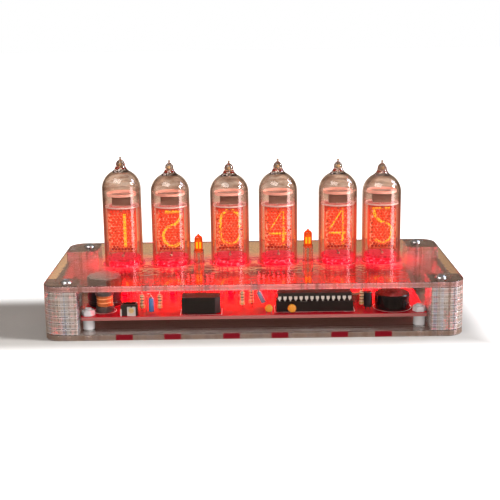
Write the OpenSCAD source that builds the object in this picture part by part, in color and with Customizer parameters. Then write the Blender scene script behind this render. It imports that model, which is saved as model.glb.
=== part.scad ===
// Clock with six neon numeral tubes that stand through the lid of a clear
// stacked-sheet case, open at the front and back, over a red circuit board.
// Millimetres. +X is right, +Y is back, +Z is up, z = 0 is the surface it stands on.

/* [Circuit board] */
// Width of the circuit board
board_w = 162; // [160:1:176]
// Depth of the circuit board
board_d = 78; // [76:1:96]
// Thickness of the circuit board
board_t = 1.6; // [1:0.1:2]
// Height of the nylon spacers under the board
standoff_h = 5; // [4:0.5:6]
// Outer diameter of the nylon spacers
standoff_d = 5.5; // [5:0.25:6.5]
// Screw centre to the board's left or right edge
board_hole_x = 3.2; // [3:0.1:4]
// Screw centre to the board's front or back edge
board_hole_y = 4.5; // [3.5:0.25:6]
// Diameter of the nylon board screws
screw_d = 3; // [2.5:0.1:3]
// Width across the flats of the nylon nuts
nut_af = 5.5; // [5:0.1:6]
// Thickness of the nylon nuts
nut_t = 2.4; // [2:0.1:3]

/* [Case] */
// Thickness of one clear sheet
sheet_t = 2.9; // [2.8:0.05:3.2]
// Number of C-shaped layers at each side
frame_count = 5; // [5:1:5]
// Number of loose corner layers above them
spacer_count = 2; // [2:1:3]
// Radius of the outer corners
corner_r = 8; // [5:0.5:9]
// Width of the corner pads, left to right
pad_w = 16; // [14:0.5:18]
// Depth of the corner pads, front to back
pad_d = 17.5; // [15:0.5:20]
// Width of the web that joins two pads along the side
web_w = 3; // [2.5:0.25:5]
// Board's front edge back from the case's front edge
board_setback = 6; // [4:0.5:8]
// Gap between the board's end and the corner pads
board_gap = 0.5; // [0.3:0.1:1]
// Diameter of the case bolts
bolt_d = 3; // [2.5:0.1:3.5]
// Bolt centre to the case's side
bolt_x = 10.5; // [8:0.5:11]
// Bolt centre to the case's front or back
bolt_y = 8; // [7:0.5:10]
// Diameter of the bolts' domed heads
head_d = 5.7; // [5.2:0.1:6.5]
// Height of the bolts' domed heads
head_h = 1.65; // [1.4:0.05:2.2]

/* [Tubes] */
// Outer diameter of a numeral tube
tube_d = 19; // [18.8:0.1:19.8]
// Wall of the glass
glass_t = 0.9; // [0.7:0.05:1.1]
// Average height of the drawn glass tips above the lid
tube_h = 51.1; // [50:0.1:56]
// Distance between the two tubes of a pair
pair_pitch = 23.3; // [22.8:0.1:25]
// Distance between neighbouring tubes of two pairs
group_pitch = 29.2; // [29:0.1:31]
// How far the glass goes down into the lid
tube_sink = 3; // [1:0.25:3]
// Gap round the glass in the lid
tube_gap = 0.8; // [0.6:0.05:0.9]
// Width of the numerals
digit_w = 11; // [9:0.25:11.4]
// Foot of the numerals above the lid
digit_foot = 8.2; // [8:0.1:9]
// Width of the anode cage
cage_w = 13; // [12:0.1:13.2]
// Depth of the anode cage
cage_d = 11; // [10.8:0.1:11.2]
// Width across the flats of one opening in the cage's front mesh
mesh_hole = 1.3; // [1.2:0.05:1.8]
// Width of the wires between the mesh openings
mesh_wire = 0.25; // [0.25:0.05:0.5]
// Diameter of the wire leads
lead_d = 0.6; // [0.4:0.05:0.8]
// Diameter of the ring that the leads stand on
lead_ring = 11.5; // [10:0.25:13]

/* [Colon lamps] */
// Diameter of a neon colon lamp
lamp_d = 4.1; // [3.5:0.1:4.5]
// Length of a neon colon lamp
lamp_l = 8.2; // [7:0.1:9]
// Foot of the lamp above the lid
lamp_foot = 7.7; // [6:0.1:10]
// Outer diameter of the lamp's clear sleeve
sleeve_d = 5.1; // [4.8:0.1:5.3]
// Hole in the lid for the sleeve
lamp_hole = 5.6; // [5.5:0.1:6.5]

/* [Parts on the board] */
// Diameter of the choke's winding
choke_d = 7.9; // [7:0.1:8.6]
// Height of the choke
choke_h = 10; // [9:0.25:11]
// Diameter of the choke's wire
wire_d = 0.45; // [0.4:0.05:0.5]
// Turns in the choke's outer layer
turns = 5; // [4:1:6]
// Diameter of the buzzer
buzzer_d = 16.5; // [14:0.5:18]
// Height of the buzzer
buzzer_h = 7.2; // [5:0.2:9]
// Length of the 28-pin controller's socket
socket_l = 36.2; // [36:0.1:38]
// Height of the controller's socket
socket_h = 4.8; // [4:0.1:5]
// Diameter of the storage capacitor
can_d = 16.5; // [14:0.5:17]
// Height of the storage capacitor
can_h = 12; // [10:0.5:13]
// Travel of a set button
button_travel = 0.5; // [0.25:0.05:0.8]

/* [Hidden] */
$fn = 48;
bolt_clear = 0.2;     // radial gap round a bolt or a screw
thread_gap = 0.02;    // radial gap left between two threads
run_gap = 0.06;       // radial gap of a turning or sliding fit
seat_gap = 0.3;       // gap between a moving piece and what it stops against
cut = 1;              // how far a cutting shape runs past the face it cuts

case_w = board_w + 2 * (board_gap + pad_w);
case_d = board_d + 2 * board_setback;
lid_z = sheet_t * (1 + frame_count + spacer_count);
case_h = lid_z + sheet_t;
bolt_px = case_w / 2 - bolt_x;
bolt_py = case_d / 2 - bolt_y;
bolt_end = 1.1;       // the bolts' lower end, inside the base
hex_key = 2;          // socket in the bolts' heads

board_z = sheet_t + standoff_h;
deck = board_z + board_t;             // top face of the board
left = -board_w / 2;                  // edges of the board
right = board_w / 2;
front = -board_d / 2;
back = board_d / 2;
hole_px = board_w / 2 - board_hole_x;
hole_py = board_d / 2 - board_hole_y;
screw_head_h = 1.3;
screw_over = 0.9;     // how far a screw stands out of its nut

// Tubes from left to right: how far each one stands beside its even place, as
// hand-fitted tubes do, and how far its drawn tip differs from the average height
tube_off = [0, 0.5, 0.4, 1, 1.3, -0.4];
tube_x = [for (i = [0:5])
    (floor(i / 2) - 1) * (pair_pitch + group_pitch) + (i % 2 - 0.5) * pair_pitch + tube_off[i]];
tip_vary = [2.1, 0.1, -0.5, 0.1, -0.3, -1.3];
stack_order = [1, 6, 2, 7, 5, 0, 4, 9, 8, 3];
tube_r = tube_d / 2;
bore_r = tube_r - glass_t;
glass_z = case_h - tube_sink;         // underside of the glass
button_t = 1.5;       // the glass button that closes a tube's foot
foot_r = 2;           // round of the glass foot
neck_r = 2.1;         // drawn glass tip
flare_r = 4.5;
tip_rise = 15.7;      // dome centre to the end of the tip
// Colon lamps: where they stand, and how far the left one sits lower
colon_x = [-(pair_pitch + group_pitch) / 2 - 0.7, (pair_pitch + group_pitch) / 2 + 1.2];
colon_drop = [1.8, 0];

// Inside a tube, as heights above the lid
disc_low = 2.2;       // lower ceramic disc
disc_t = 1.2;
cage_low = 6.5;
getter_rise = -1.2;   // ceramic plate over the getter, from the dome's mean centre
getter_z = tube_h - tip_rise + getter_rise;
disc_high = getter_z - 5.6;           // upper mica disc
mica_t = 0.7;
getter_t = 1.3;
getter_d = 14.4;
disc_gap = 0.4;
disc_d = 2 * (bore_r - disc_gap);
cage_t = 0.3;
cage_round = 1;
mesh_edge = 0.8;
strip_w = 3;
rod_low = 4.6;        // rods that carry the numerals
rod_high = disc_high - 1.1;
rod_d = 0.6;
bead_d = 1.5;
line_w = 0.7;         // the numerals' strokes
sheet_metal = 0.3;    // the numerals' thickness
digit_step = 0.9;     // one numeral to the next, front to back
digit_over = 2.4;     // the numerals' heads to the upper disc
digit_h = disc_high - digit_over - digit_foot;
leads = 12;

wire = 0.5;           // leads of the small parts
dip_pitch = 2.54;
dip_row = 7.62;

// ---- Shared shapes ----

// Rectangle with rounded corners, centred
module rounded(w, d, r) {
    square([w - 2 * r, d], center = true);
    square([w, d - 2 * r], center = true);
    for (i = [-1, 1], j = [-1, 1]) translate([i * (w / 2 - r), j * (d / 2 - r)]) circle(r);
}

// Copies of a shape at the four corners of a rectangle
module at_corners(x, y) {
    for (i = [-1, 1], j = [-1, 1]) translate([i * x, j * y, 0]) children();
}

// Copies of a shape at every tube
module at_tubes() {
    for (x = tube_x) translate([x, 0, 0]) children();
}

// Upright wire from a to b, two heights
module post(x, y, a, b, d = wire) {
    translate([x, y, a]) cylinder(d = d, h = b - a, $fn = 24);
}

// Straight stroke between two points, with round ends
module stroke(p, q) {
    run = q - p;
    translate(p) circle(d = line_w);
    translate(q) circle(d = line_w);
    translate(p) rotate(atan2(run.y, run.x)) translate([0, -line_w / 2]) square([norm(run), line_w]);
}

// Round stroke about c, from angle a to angle b, counter-clockwise
module sweep(c, r, a, b) {
    reach = 2 * r;
    steps = [for (k = [0:4]) a + (b - a) * k / 4];
    translate(c) intersection() {
        difference() {
            circle(r + line_w / 2);
            circle(r - line_w / 2);
        }
        polygon(concat([[0, 0]], [for (t = steps) reach * [cos(t), sin(t)]]));
    }
}

// ---- Case ----

module pads(side) {
    intersection() {
        rounded(case_w, case_d, corner_r);
        for (j = [-1, 1]) translate([side * (case_w - pad_w) / 2, j * (case_d - pad_d) / 2])
            square([pad_w, pad_d], center = true);
    }
}

module frame_layer(side, level) {
    color("gainsboro", 0.5) translate([0, 0, sheet_t * level]) linear_extrude(sheet_t) difference() {
        union() {
            pads(side);
            translate([side * (case_w - web_w) / 2, 0]) square([web_w, case_d - 2 * corner_r], center = true);
        }
        at_corners(bolt_px, bolt_py) circle(d = bolt_d + 2 * bolt_clear);
    }
}

module corner_spacers() {
    color("gainsboro", 0.5) for (side = [-1, 1], k = [0:spacer_count - 1])
        translate([0, 0, sheet_t * (1 + frame_count + k)]) linear_extrude(sheet_t) difference() {
            pads(side);
            at_corners(bolt_px, bolt_py) circle(d = bolt_d + 2 * bolt_clear);
        }
}

module base_plate() {
    color("gainsboro", 0.5) difference() {
        linear_extrude(sheet_t) rounded(case_w, case_d, corner_r);
        at_corners(bolt_px, bolt_py) translate([0, 0, -cut])
            cylinder(d = bolt_d + 2 * thread_gap, h = sheet_t + 2 * cut);
        at_corners(hole_px, hole_py) {
            translate([0, 0, -cut]) cylinder(d = screw_d + 2 * bolt_clear, h = sheet_t + 2 * cut);
            screw_head(thread_gap);
        }
    }
}

module top_plate() {
    color("gainsboro", 0.5) translate([0, 0, lid_z]) linear_extrude(sheet_t) difference() {
        rounded(case_w, case_d, corner_r);
        at_corners(bolt_px, bolt_py) circle(d = bolt_d + 2 * bolt_clear);
        for (x = tube_x) translate([x, 0]) circle(d = tube_d + 2 * tube_gap);
        for (x = colon_x) translate([x, 0]) circle(d = lamp_hole);
    }
}

// Domed heads with a hexagon socket, threaded into the base
module case_bolts() {
    dome_r = (head_d * head_d / 4 + head_h * head_h) / (2 * head_h);
    color("silver") at_corners(bolt_px, bolt_py) difference() {
        union() {
            translate([0, 0, bolt_end]) cylinder(d = bolt_d, h = case_h - bolt_end);
            translate([0, 0, case_h]) intersection() {
                translate([0, 0, head_h - dome_r]) sphere(dome_r);
                cylinder(d = head_d, h = head_h);
            }
        }
        translate([0, 0, case_h + head_h / 3]) cylinder(d = hex_key / cos(30), h = head_h, $fn = 6);
    }
}

// ---- Board and what holds it ----

module circuit_board() {
    color("firebrick") translate([0, 0, board_z]) linear_extrude(board_t) difference() {
        rounded(board_w, board_d, 1);
        at_corners(hole_px, hole_py) circle(d = screw_d + 2 * bolt_clear);
    }
}

module board_standoffs() {
    color("ivory") at_corners(hole_px, hole_py) translate([0, 0, sheet_t]) linear_extrude(standoff_h)
        difference() {
            circle(d = standoff_d);
            circle(d = screw_d + 2 * bolt_clear);
        }
}

// Countersunk head, flush with the underside of the base
module screw_head(gap = 0) {
    cylinder(d1 = screw_d + 2 * screw_head_h + 2 * gap, d2 = screw_d + 2 * gap, h = screw_head_h);
}

module board_screws() {
    slot_w = 0.7;
    color("ivory") at_corners(hole_px, hole_py) difference() {
        union() {
            screw_head();
            cylinder(d = screw_d, h = deck + nut_t + screw_over);
        }
        translate([-screw_d, -slot_w / 2, -cut]) cube([2 * screw_d, slot_w, cut + screw_head_h / 2]);
    }
}

module board_nuts() {
    color("ivory") at_corners(hole_px, hole_py) translate([0, 0, deck]) difference() {
        intersection() {
            cylinder(d = nut_af / cos(30), h = nut_t, $fn = 6);
            translate([0, 0, -nut_af / 4]) cylinder(d1 = 2 * nut_af, d2 = nut_af, h = nut_t + nut_af / 4);
        }
        translate([0, 0, -cut]) cylinder(d = screw_d + 2 * thread_gap, h = nut_t + 2 * cut);
    }
}

// ---- Numeral tubes ----

// Half outline of the drawn tip, z = 0 at the dome's centre
module tip_outline(dome) {
    flare_x = neck_r + flare_r;
    flare_rise = sqrt((dome + flare_r) * (dome + flare_r) - flare_x * flare_x);
    join_r = dome * flare_x / (dome + flare_r) - 0.08;
    bead_r = 0.55;        // drop of glass at the very end
    // Radius and height of the taper, down from the tip's end
    taper = [[1.95, -3.1], [1.5, -2.6], [0.7, -1.7], [0.36, -1.2], [0.36, -0.8], [0, -0.8]];
    difference() {
        square([join_r, flare_rise]);
        translate([flare_x, flare_rise]) circle(flare_r);
    }
    polygon(concat([[0, flare_rise - cut], [neck_r - 0.05, flare_rise - cut], [neck_r, flare_rise]],
                   [for (p = taper) [p.x, tip_rise + p.y]]));
    intersection() {
        translate([0, tip_rise - bead_r]) circle(bead_r);
        translate([0, flare_rise]) square([neck_r, tip_rise]);
    }
}

module envelope(i) {
    dome_z = tube_h + tip_vary[i] - tip_rise + tube_sink;
    color("white", 0.3) translate([tube_x[i], 0, glass_z]) rotate_extrude() difference() {
        union() {
            translate([0, foot_r]) square([tube_r, dome_z - foot_r]);
            square([tube_r - foot_r, foot_r]);
            translate([tube_r - foot_r, foot_r]) intersection() {
                circle(foot_r);
                translate([0, -foot_r]) square(foot_r);
            }
            translate([0, dome_z]) intersection() {
                circle(tube_r);
                square(tube_r);
            }
            translate([0, dome_z]) tip_outline(tube_r);
        }
        translate([0, button_t]) square([bore_r, dome_z - button_t]);
        translate([0, dome_z]) intersection() {
            circle(bore_r);
            square(bore_r);
        }
    }
}

// Hexagons of the anode's front mesh, in rows that are offset by half a cell
module mesh_cells(w, h) {
    pitch = mesh_hole + mesh_wire;
    row = pitch * sin(60);
    rows = floor((h - mesh_hole / cos(30)) / row);
    columns = floor((w - mesh_hole) / pitch);
    for (r = [0:rows]) {
        count = columns - r % 2;
        for (c = [0:count]) translate([(c - count / 2) * pitch, (r - rows / 2) * row])
            rotate(30) circle(d = mesh_hole / cos(30), $fn = 6);
    }
}

// Folded sheet cage with a mesh front, on two strips that stand on the lower disc
module anode(i) {
    cage_h = disc_high - cage_low;
    color("dimgray") translate([tube_x[i], 0, case_h]) {
        difference() {
            translate([0, 0, cage_low]) linear_extrude(cage_h) difference() {
                rounded(cage_w, cage_d, cage_round);
                rounded(cage_w - 2 * cage_t, cage_d - 2 * cage_t, cage_round - cage_t);
            }
            translate([0, -cage_d / 2 + cage_round, cage_low + cage_h / 2]) rotate([90, 0, 0])
                linear_extrude(cage_round + cut)
                    mesh_cells(cage_w - 2 * cage_round, cage_h - 2 * mesh_edge);
        }
        for (side = [-1, 1]) translate([side * (cage_w - cage_t) / 2, 0, disc_low + disc_t])
            linear_extrude(cage_low - disc_low) square([cage_t, strip_w], center = true);
    }
}

// Numerals as wire-thin outlines, their feet's middle at the origin. Each one
// reaches the middle of its foot and head, where the carrying arms meet it.
module numeral(n) {
    r = (digit_w - line_w) / 2;
    foot = line_w / 2;
    head = digit_h - line_w / 2;
    if (n == 0) {
        sweep([0, head - r], r, 0, 180);
        sweep([0, foot + r], r, 180, 360);
        for (side = [-r, r]) stroke([side, foot + r], [side, head - r]);
    }
    if (n == 1) {
        stroke([0, foot], [0, head]);
    }
    if (n == 2) {
        mirror([1, 0, 0]) numeral(5);
    }
    if (n == 3) {
        bowl = (head - foot) / 4;
        sweep([0, head - bowl], bowl, -90, 150);
        sweep([0, foot + bowl], bowl, -150, 90);
    }
    if (n == 4) {
        bar = foot + digit_h / 3;
        stem = 0.42 * r;
        stroke([stem, head], [-r, bar]);
        stroke([-r, bar], [0.75 * r, bar]);
        stroke([stem, foot], [stem, head]);
        for (z = [foot, head]) stroke([0, z], [stem, z]);
    }
    if (n == 5) {
        hook = head - foot - 2 * r;
        stroke([-r, head], [0.75 * r, head]);
        sweep([hook - r, head], hook, 180, 265);
        sweep([0, foot + r], r, -140, 80);
    }
    if (n == 6) {
        sweep([0, foot + r], r, 0, 360);
        sweep([head - foot - r, foot + r], head - foot, 180 - 53, 180);
    }
    if (n == 7) {
        stroke([-r, head], [r, head]);
        stroke([r, head], [0, foot]);
    }
    if (n == 8) {
        bowl = (head - foot) / 4;
        sweep([0, head - bowl], bowl, 0, 360);
        sweep([0, foot + bowl], bowl, 0, 360);
    }
    if (n == 9) {
        translate([0, digit_h]) rotate(180) numeral(6);
    }
}

// Ten numerals one behind the other, on two rods with a bead at the front
module cathodes(i) {
    count = len(stack_order);
    rod_out = 0.2;        // rods' front ends past the first numeral
    rod_front = -(count - 1) / 2 * digit_step - sheet_metal / 2 - rod_out;
    color("orange") translate([tube_x[i], 0, case_h]) {
        for (k = [0:count - 1]) translate([0, (k - (count - 1) / 2) * digit_step + sheet_metal / 2, 0])
            rotate([90, 0, 0]) linear_extrude(sheet_metal) {
                translate([0, digit_foot]) numeral(stack_order[k]);
                translate([-line_w / 2, rod_low]) square([line_w, digit_foot + line_w / 2 - rod_low]);
                translate([-line_w / 2, digit_foot + digit_h - line_w / 2])
                    square([line_w, rod_high - digit_foot - digit_h + line_w / 2]);
            }
        for (z = [rod_low, rod_high]) translate([0, rod_front, z]) {
            rotate([-90, 0, 0]) cylinder(d = rod_d, h = cage_d / 2 - cage_t - rod_front);
            sphere(d = bead_d);
        }
    }
}

// Ceramic and mica discs, the getter's carrier and the stems in all the tubes
module tube_supports() {
    carrier = [9, 6, getter_z - disc_high - mica_t];
    stem = 4.2;
    color("beige") at_tubes() translate([0, 0, case_h]) {
        translate([0, 0, disc_low]) cylinder(d = disc_d, h = disc_t);
        at_corners(stem, stem) post(0, 0, button_t - tube_sink, disc_low + cage_t, wire);
        translate([0, 0, disc_high]) cylinder(d = disc_d, h = mica_t);
        translate([0, 0, disc_high + mica_t]) linear_extrude(carrier.z) difference() {
            square([carrier.x, carrier.y], center = true);
            square([carrier.x - 2 * cage_t, carrier.y - 2 * cage_t], center = true);
        }
        translate([0, 0, getter_z]) cylinder(d = getter_d, h = getter_t);
    }
}

// Wire leads from the board to the glass, with their solder cones below
module tube_leads() {
    cone_h = 1.2;
    color("silver") at_tubes() for (k = [0:leads - 1]) rotate((k + 0.5) * 360 / leads)
        translate([lead_ring / 2, 0, 0]) {
            post(0, 0, deck, glass_z, lead_d);
            translate([0, 0, board_z - cone_h]) cylinder(d1 = lead_d, d2 = 3 * lead_d, h = cone_h, $fn = 24);
        }
}

// Round-topped lamps with a flange, one under each tube
module underlight_leds() {
    led_d = 3;
    led_h = 5.3;
    flange_h = 1;
    brim = 0.4;
    color("red") at_tubes() translate([0, 0, deck]) {
        cylinder(d = led_d + 2 * brim, h = flange_h);
        cylinder(d = led_d, h = led_h - led_d / 2);
        translate([0, 0, led_h - led_d / 2]) sphere(d = led_d);
    }
}

// Neon lamps with a drawn tip, each set into its sleeve on two wires
module colon_lamps() {
    seat = 1;
    nib_d = 0.7;
    nib_h = 0.6;
    color("orange") for (k = [0, 1]) {
        foot = case_h + lamp_foot - colon_drop[k] - seat;
        round_z = foot + seat + lamp_l - lamp_d / 2 - nib_h;
        translate([colon_x[k], 0, foot]) cylinder(d = lamp_d, h = round_z - foot);
        translate([colon_x[k], 0, round_z]) sphere(d = lamp_d);
        translate([colon_x[k], 0, round_z]) cylinder(d1 = lamp_d * 0.8, d2 = nib_d, h = lamp_d / 2 + nib_h);
        for (side = [-1, 1]) post(colon_x[k] + side * lamp_d / 4, 0, deck, foot + seat);
    }
}

module colon_sleeves() {
    color("white", 0.5) for (k = [0, 1]) translate([colon_x[k], 0, deck])
        linear_extrude(case_h + lamp_foot - colon_drop[k] - deck) difference() {
            circle(d = sleeve_d);
            circle(d = lamp_d + 2 * run_gap);
        }
}

// ---- Parts on the board ----

// Body of a dual-in-line package along X, z = 0 at its underside
module dip_body(l) {
    w = 6.6;
    h = 3.3;
    draft = 0.25;
    mark_r = 1;           // round dent at the end with the first leg
    mark_t = 0.6;
    difference() {
        translate([-l / 2, 0, 0]) rotate([90, 0, 90]) linear_extrude(l)
            polygon([[-w / 2 + draft, 0], [-w / 2, h / 2], [-w / 2 + draft, h],
                     [w / 2 - draft, h], [w / 2, h / 2], [w / 2 - draft, 0]]);
        translate([-l / 2, 0, h - mark_t]) cylinder(r = mark_r, h = mark_t + cut);
    }
}

// Its legs: a wide shoulder, then a narrow pin down to z = -drop
module dip_legs(pins, drop) {
    leg_t = 0.25;
    shoulder = 1.5;
    blade = 0.5;
    top = 1.8;
    wide_end = -1.2;      // the shoulder narrows to the blade between these
    narrow_start = -1.7;
    reach_in = 0.7;       // from the leg's outer face into the body
    run = 0.8;
    half = pins / 2;
    for (k = [0:half - 1], side = [-1, 1])
        translate([(k - (half - 1) / 2) * dip_pitch, side * dip_row / 2, top]) {
            translate([0, -side * (reach_in - run / 2), -leg_t / 2])
                cube([shoulder, run, leg_t], center = true);
            translate([0, leg_t / 2, 0]) rotate([90, 0, 0]) linear_extrude(leg_t)
                polygon([[-shoulder / 2, 0], [-shoulder / 2, wide_end], [-blade / 2, narrow_start],
                         [-blade / 2, -drop - top], [blade / 2, -drop - top], [blade / 2, narrow_start],
                         [shoulder / 2, wide_end], [shoulder / 2, 0]]);
        }
}

chip_x = right - 52.3;
chip_y = front + 10.2;
chip_pins = 2 * floor(socket_l / dip_pitch);
chip_inset = 0.6;     // the chip's end in from the socket's
socket_d = 4 * dip_pitch;
chip_lift = 0.4;      // the chip's underside above its socket

module controller_chip() {
    color("dimgray") translate([chip_x, chip_y, deck + socket_h + chip_lift]) {
        dip_body(socket_l - 2 * chip_inset);
        dip_legs(chip_pins, chip_lift);
    }
}

// Two contact rows joined by bars across an open middle
module chip_socket() {
    open_d = 4;
    bar_w = 2.2;
    mark_r = 1;
    color("dimgray") translate([chip_x, chip_y, deck]) linear_extrude(socket_h) difference() {
        square([socket_l, socket_d], center = true);
        for (side = [-1, 1]) translate([side * socket_l / 4, 0])
            square([socket_l / 2 - 2 * bar_w, open_d], center = true);
        translate([-socket_l / 2, 0]) circle(mark_r);
    }
}

module driver_chips() {
    driver_l = 20;
    driver_pins = 16;
    driver_px = [left + 51, right - 69];
    driver_y = back - 15;
    lift = 0.5;
    color("dimgray") for (x = driver_px) translate([x, driver_y, deck + lift]) {
        dip_body(driver_l);
        dip_legs(driver_pins, lift);
    }
}

// Low metal can with rounded ends, on a wider foot
module quartz_crystal() {
    can = [10.9, 4.4, 3.6];
    foot_h = 0.4;
    brim = 0.3;
    place = [right - 31, front + 22.5];
    color("silver") translate([place.x, place.y, deck]) {
        linear_extrude(foot_h) rounded(can.x + 2 * brim, can.y + 2 * brim, can.y / 2);
        linear_extrude(can.z) rounded(can.x, can.y, can.y / 2 - brim / 4);
    }
}

// Potted converter with one cut-off corner, on four feet
module converter_module() {
    size = [18, 9, 8.1];
    cut_corner = 2.4;
    lift = 0.4;
    stub_r = 1;
    stub_in = [3, 2];
    corner = [left + 47.2, front + 2.4];
    color("dimgray") translate([corner.x, corner.y, deck]) {
        translate([0, 0, lift]) linear_extrude(size.z - lift)
            polygon([[0, 0], [size.x - cut_corner, 0], [size.x, cut_corner], [size.x, size.y], [0, size.y]]);
        translate([size.x / 2, size.y / 2, 0])
            at_corners(size.x / 2 - stub_in.x, size.y / 2 - stub_in.y) cylinder(r = stub_r, h = lift);
    }
}

// ---- Choke: ferrite bobbin and its winding ----

choke_x = left + 10.2;
choke_y = front + 11;
flange_rim = 0.4;
flange_d = choke_d + 2 * flange_rim;
flange_low = 2.5;
flange_high = 1.9;
coil_gap = 0.15;      // end turns to the flanges
wire_gap = 0.02;
coil_r = (choke_d - wire_d) / 2;
core_r = coil_r - wire_d / 2 - wire_gap;
coil_low = flange_low + coil_gap + wire_d / 2;
coil_high = choke_h - flange_high - coil_gap - wire_d / 2;
rings = 24;
bend_r = wire_d / 2 + 0.08;

// The wire's path: straight out of the core and round a quarter bend, the
// helix, and back into the core
function from_core(turn, z, way) = [
    for (p = concat([[-wire_d, -1]], [for (a = [0:30:90]) [bend_r * sin(a), -cos(a)]]))
        let (out = coil_r - bend_r + p.x, along = way * bend_r * p.y)
        [out * cos(turn) - along * sin(turn), out * sin(turn) + along * cos(turn), z]];
helix = [for (k = [1:turns * rings - 1])
    let (t = k / (turns * rings))
    [coil_r * cos(360 * turns * t), coil_r * sin(360 * turns * t), coil_low + (coil_high - coil_low) * t]];
lead_out = from_core(360 * turns, coil_high, -1);
choke_path = concat(from_core(0, coil_low, 1), helix, [for (k = [len(lead_out) - 1:-1:0]) lead_out[k]]);

function unit(v) = v / norm(v);

// Least distance between two stretches of the wire that are not neighbours
wire_clear = min([for (i = [0:len(helix) - 1], j = [i + rings / 2:1:len(helix) - 1])
    norm(helix[i] - helix[j])]) - wire_d;
echo(str("choke winding: least gap ", wire_clear, " mm"));

// One unbroken tube of six sides along a path
module wire_tube(path, d) {
    sides = 6;
    last = len(path) - 1;
    points = [for (k = [0:last])
        let (run = unit(path[min(k + 1, last)] - path[max(k - 1, 0)]),
             out = unit(cross(run, [0, 0, 1])),
             up = cross(out, run))
        for (s = [0:sides - 1]) let (a = 360 * s / sides) path[k] + d / 2 * (cos(a) * out + sin(a) * up)];
    walls = [for (k = [0:last - 1], s = [0:sides - 1])
        let (a = k * sides + s, b = k * sides + (s + 1) % sides)
        for (face = [[a, b, a + sides], [b, b + sides, a + sides]]) face];
    far = last * sides;
    ends = [for (s = [1:sides - 2], face = [[0, s + 1, s], [far, far + s, far + s + 1]]) face];
    polyhedron(points, concat(walls, ends));
}

module choke_core() {
    hole_d = wire_d + 5 * wire_gap;
    chamfer = 0.4;
    color("dimgray") translate([choke_x, choke_y, deck]) difference() {
        rotate_extrude() polygon([
            [0, 0], [flange_d / 2, 0], [flange_d / 2, flange_low], [core_r, flange_low],
            [core_r, choke_h - flange_high], [flange_d / 2, choke_h - flange_high],
            [flange_d / 2, choke_h - chamfer], [flange_d / 2 - chamfer, choke_h], [0, choke_h]]);
        for (end = [[coil_low, -1], [coil_high, 1]])
            translate([coil_r - bend_r - wire_d, end[1] * bend_r, end[0]]) rotate([0, 90, 0])
                cylinder(d = hole_d, h = coil_r);
    }
}

module choke_winding() {
    color("peru") translate([choke_x, choke_y, deck]) wire_tube(choke_path, wire_d);
}

// ---- Small parts ----

// Sounder: stepped round case with a sound hole
module buzzer() {
    step = 0.5;
    rim_z = 1;
    hole_r = 1;
    hole_h = 2;
    outer = buzzer_d / 2;
    place = [right - 15.1, front + 11.2];
    color("dimgray") translate([place.x, place.y, deck]) rotate_extrude()
        polygon([[hole_r, buzzer_h - hole_h], [hole_r, buzzer_h], [outer - step, buzzer_h],
                 [outer, buzzer_h - step], [outer, rim_z], [outer - step, rim_z], [outer - step, 0],
                 [0, 0], [0, buzzer_h - hole_h]]);
}

over_top = 0.4;       // straight lead above a standing body

// Lead that turns over at a height and comes down reach further on
module hairpin(reach, over) {
    translate([reach / 2, 0, over]) rotate([90, 0, 0]) rotate_extrude(angle = 180)
        translate([abs(reach) / 2, 0]) circle(d = wire, $fn = 24);
    post(reach, 0, deck, over);
}

// Body standing on one lead, with wider ends cap high; the other lead turns
// over its top and comes down beside it
module standing(body_d, body_z, body_h, reach, cap = 0) {
    cap_rim = 0.2;
    over = body_z + body_h + over_top;
    post(0, 0, deck, over);
    translate([0, 0, body_z]) cylinder(d = body_d, h = body_h);
    if (cap > 0) for (z = [0, body_h - cap]) translate([0, 0, body_z + z])
        cylinder(d = body_d + 2 * cap_rim, h = cap);
    hairpin(reach, over);
}

module resistors() {
    body_d = 2.1;
    body_z = 1.1;
    body_h = 6.7;
    cap = 1.4;
    reach = 3;
    places = [[left + 28, front + 10.4], [left + 36.4, front + 10],
              [right - 86.5, front + 14], [right - 82.1, front + 17], [right - 29.5, front + 12]];
    color("tan") for (p = places) translate([p.x, p.y, 0]) rotate(90)
        standing(body_d, deck + body_z, body_h, reach, cap);
}

// One diode that stands upright, and one that leans
module diodes() {
    upright = [left + 32.7, front + 6.1];
    upright_d = 2.6;
    upright_h = 7.2;
    upright_z = 0.6;
    upright_reach = 2.3;
    slant = [right - 77.5, front + 12.9];
    slant_d = 2.4;
    slant_l = 6.4;
    slant_reach = 3;
    lean = 25;
    mid = deck + 5.2;
    in_end = 0.2;         // how far the leads go into the body's ends
    dx = sin(lean) * (slant_l / 2 - in_end);
    dz = cos(lean) * (slant_l / 2 - in_end);
    over = mid + dz + 2 * over_top;
    color("steelblue") {
        translate([upright.x, upright.y, 0]) rotate(180)
            standing(upright_d, deck + upright_z, upright_h, upright_reach);
        translate([slant.x, slant.y, 0]) {
            translate([0, 0, mid]) rotate([0, -lean, 0]) cylinder(d = slant_d, h = slant_l, center = true);
            post(dx, 0, deck, mid - dz);
            translate([-dx, 0, 0]) {
                post(0, 0, mid + dz, over);
                hairpin(-slant_reach, over);
            }
        }
    }
}

// Dipped discs with rounded rims, and their two leads
module ceramic_capacitors() {
    disc_w = 2.2;
    rim = disc_w / 2;
    rise = 2.6;
    // Place and diameter of each one
    discs = [[right - 74, front + 2.4, 3.6], [right - 63.2, front + 2, 3.9]];
    color("orange") for (c = discs) translate([c.x, c.y, deck]) {
        translate([0, 0, rise]) rotate([90, 0, 0]) rotate_extrude() {
            translate([0, -rim]) square([c.z / 2 - rim, disc_w]);
            translate([c.z / 2 - rim, 0]) intersection() {
                circle(rim);
                translate([0, -rim]) square([rim, disc_w]);
            }
        }
        for (side = [-1, 1]) post(side * dip_pitch / 2, 0, 0, rise);
    }
}

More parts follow.
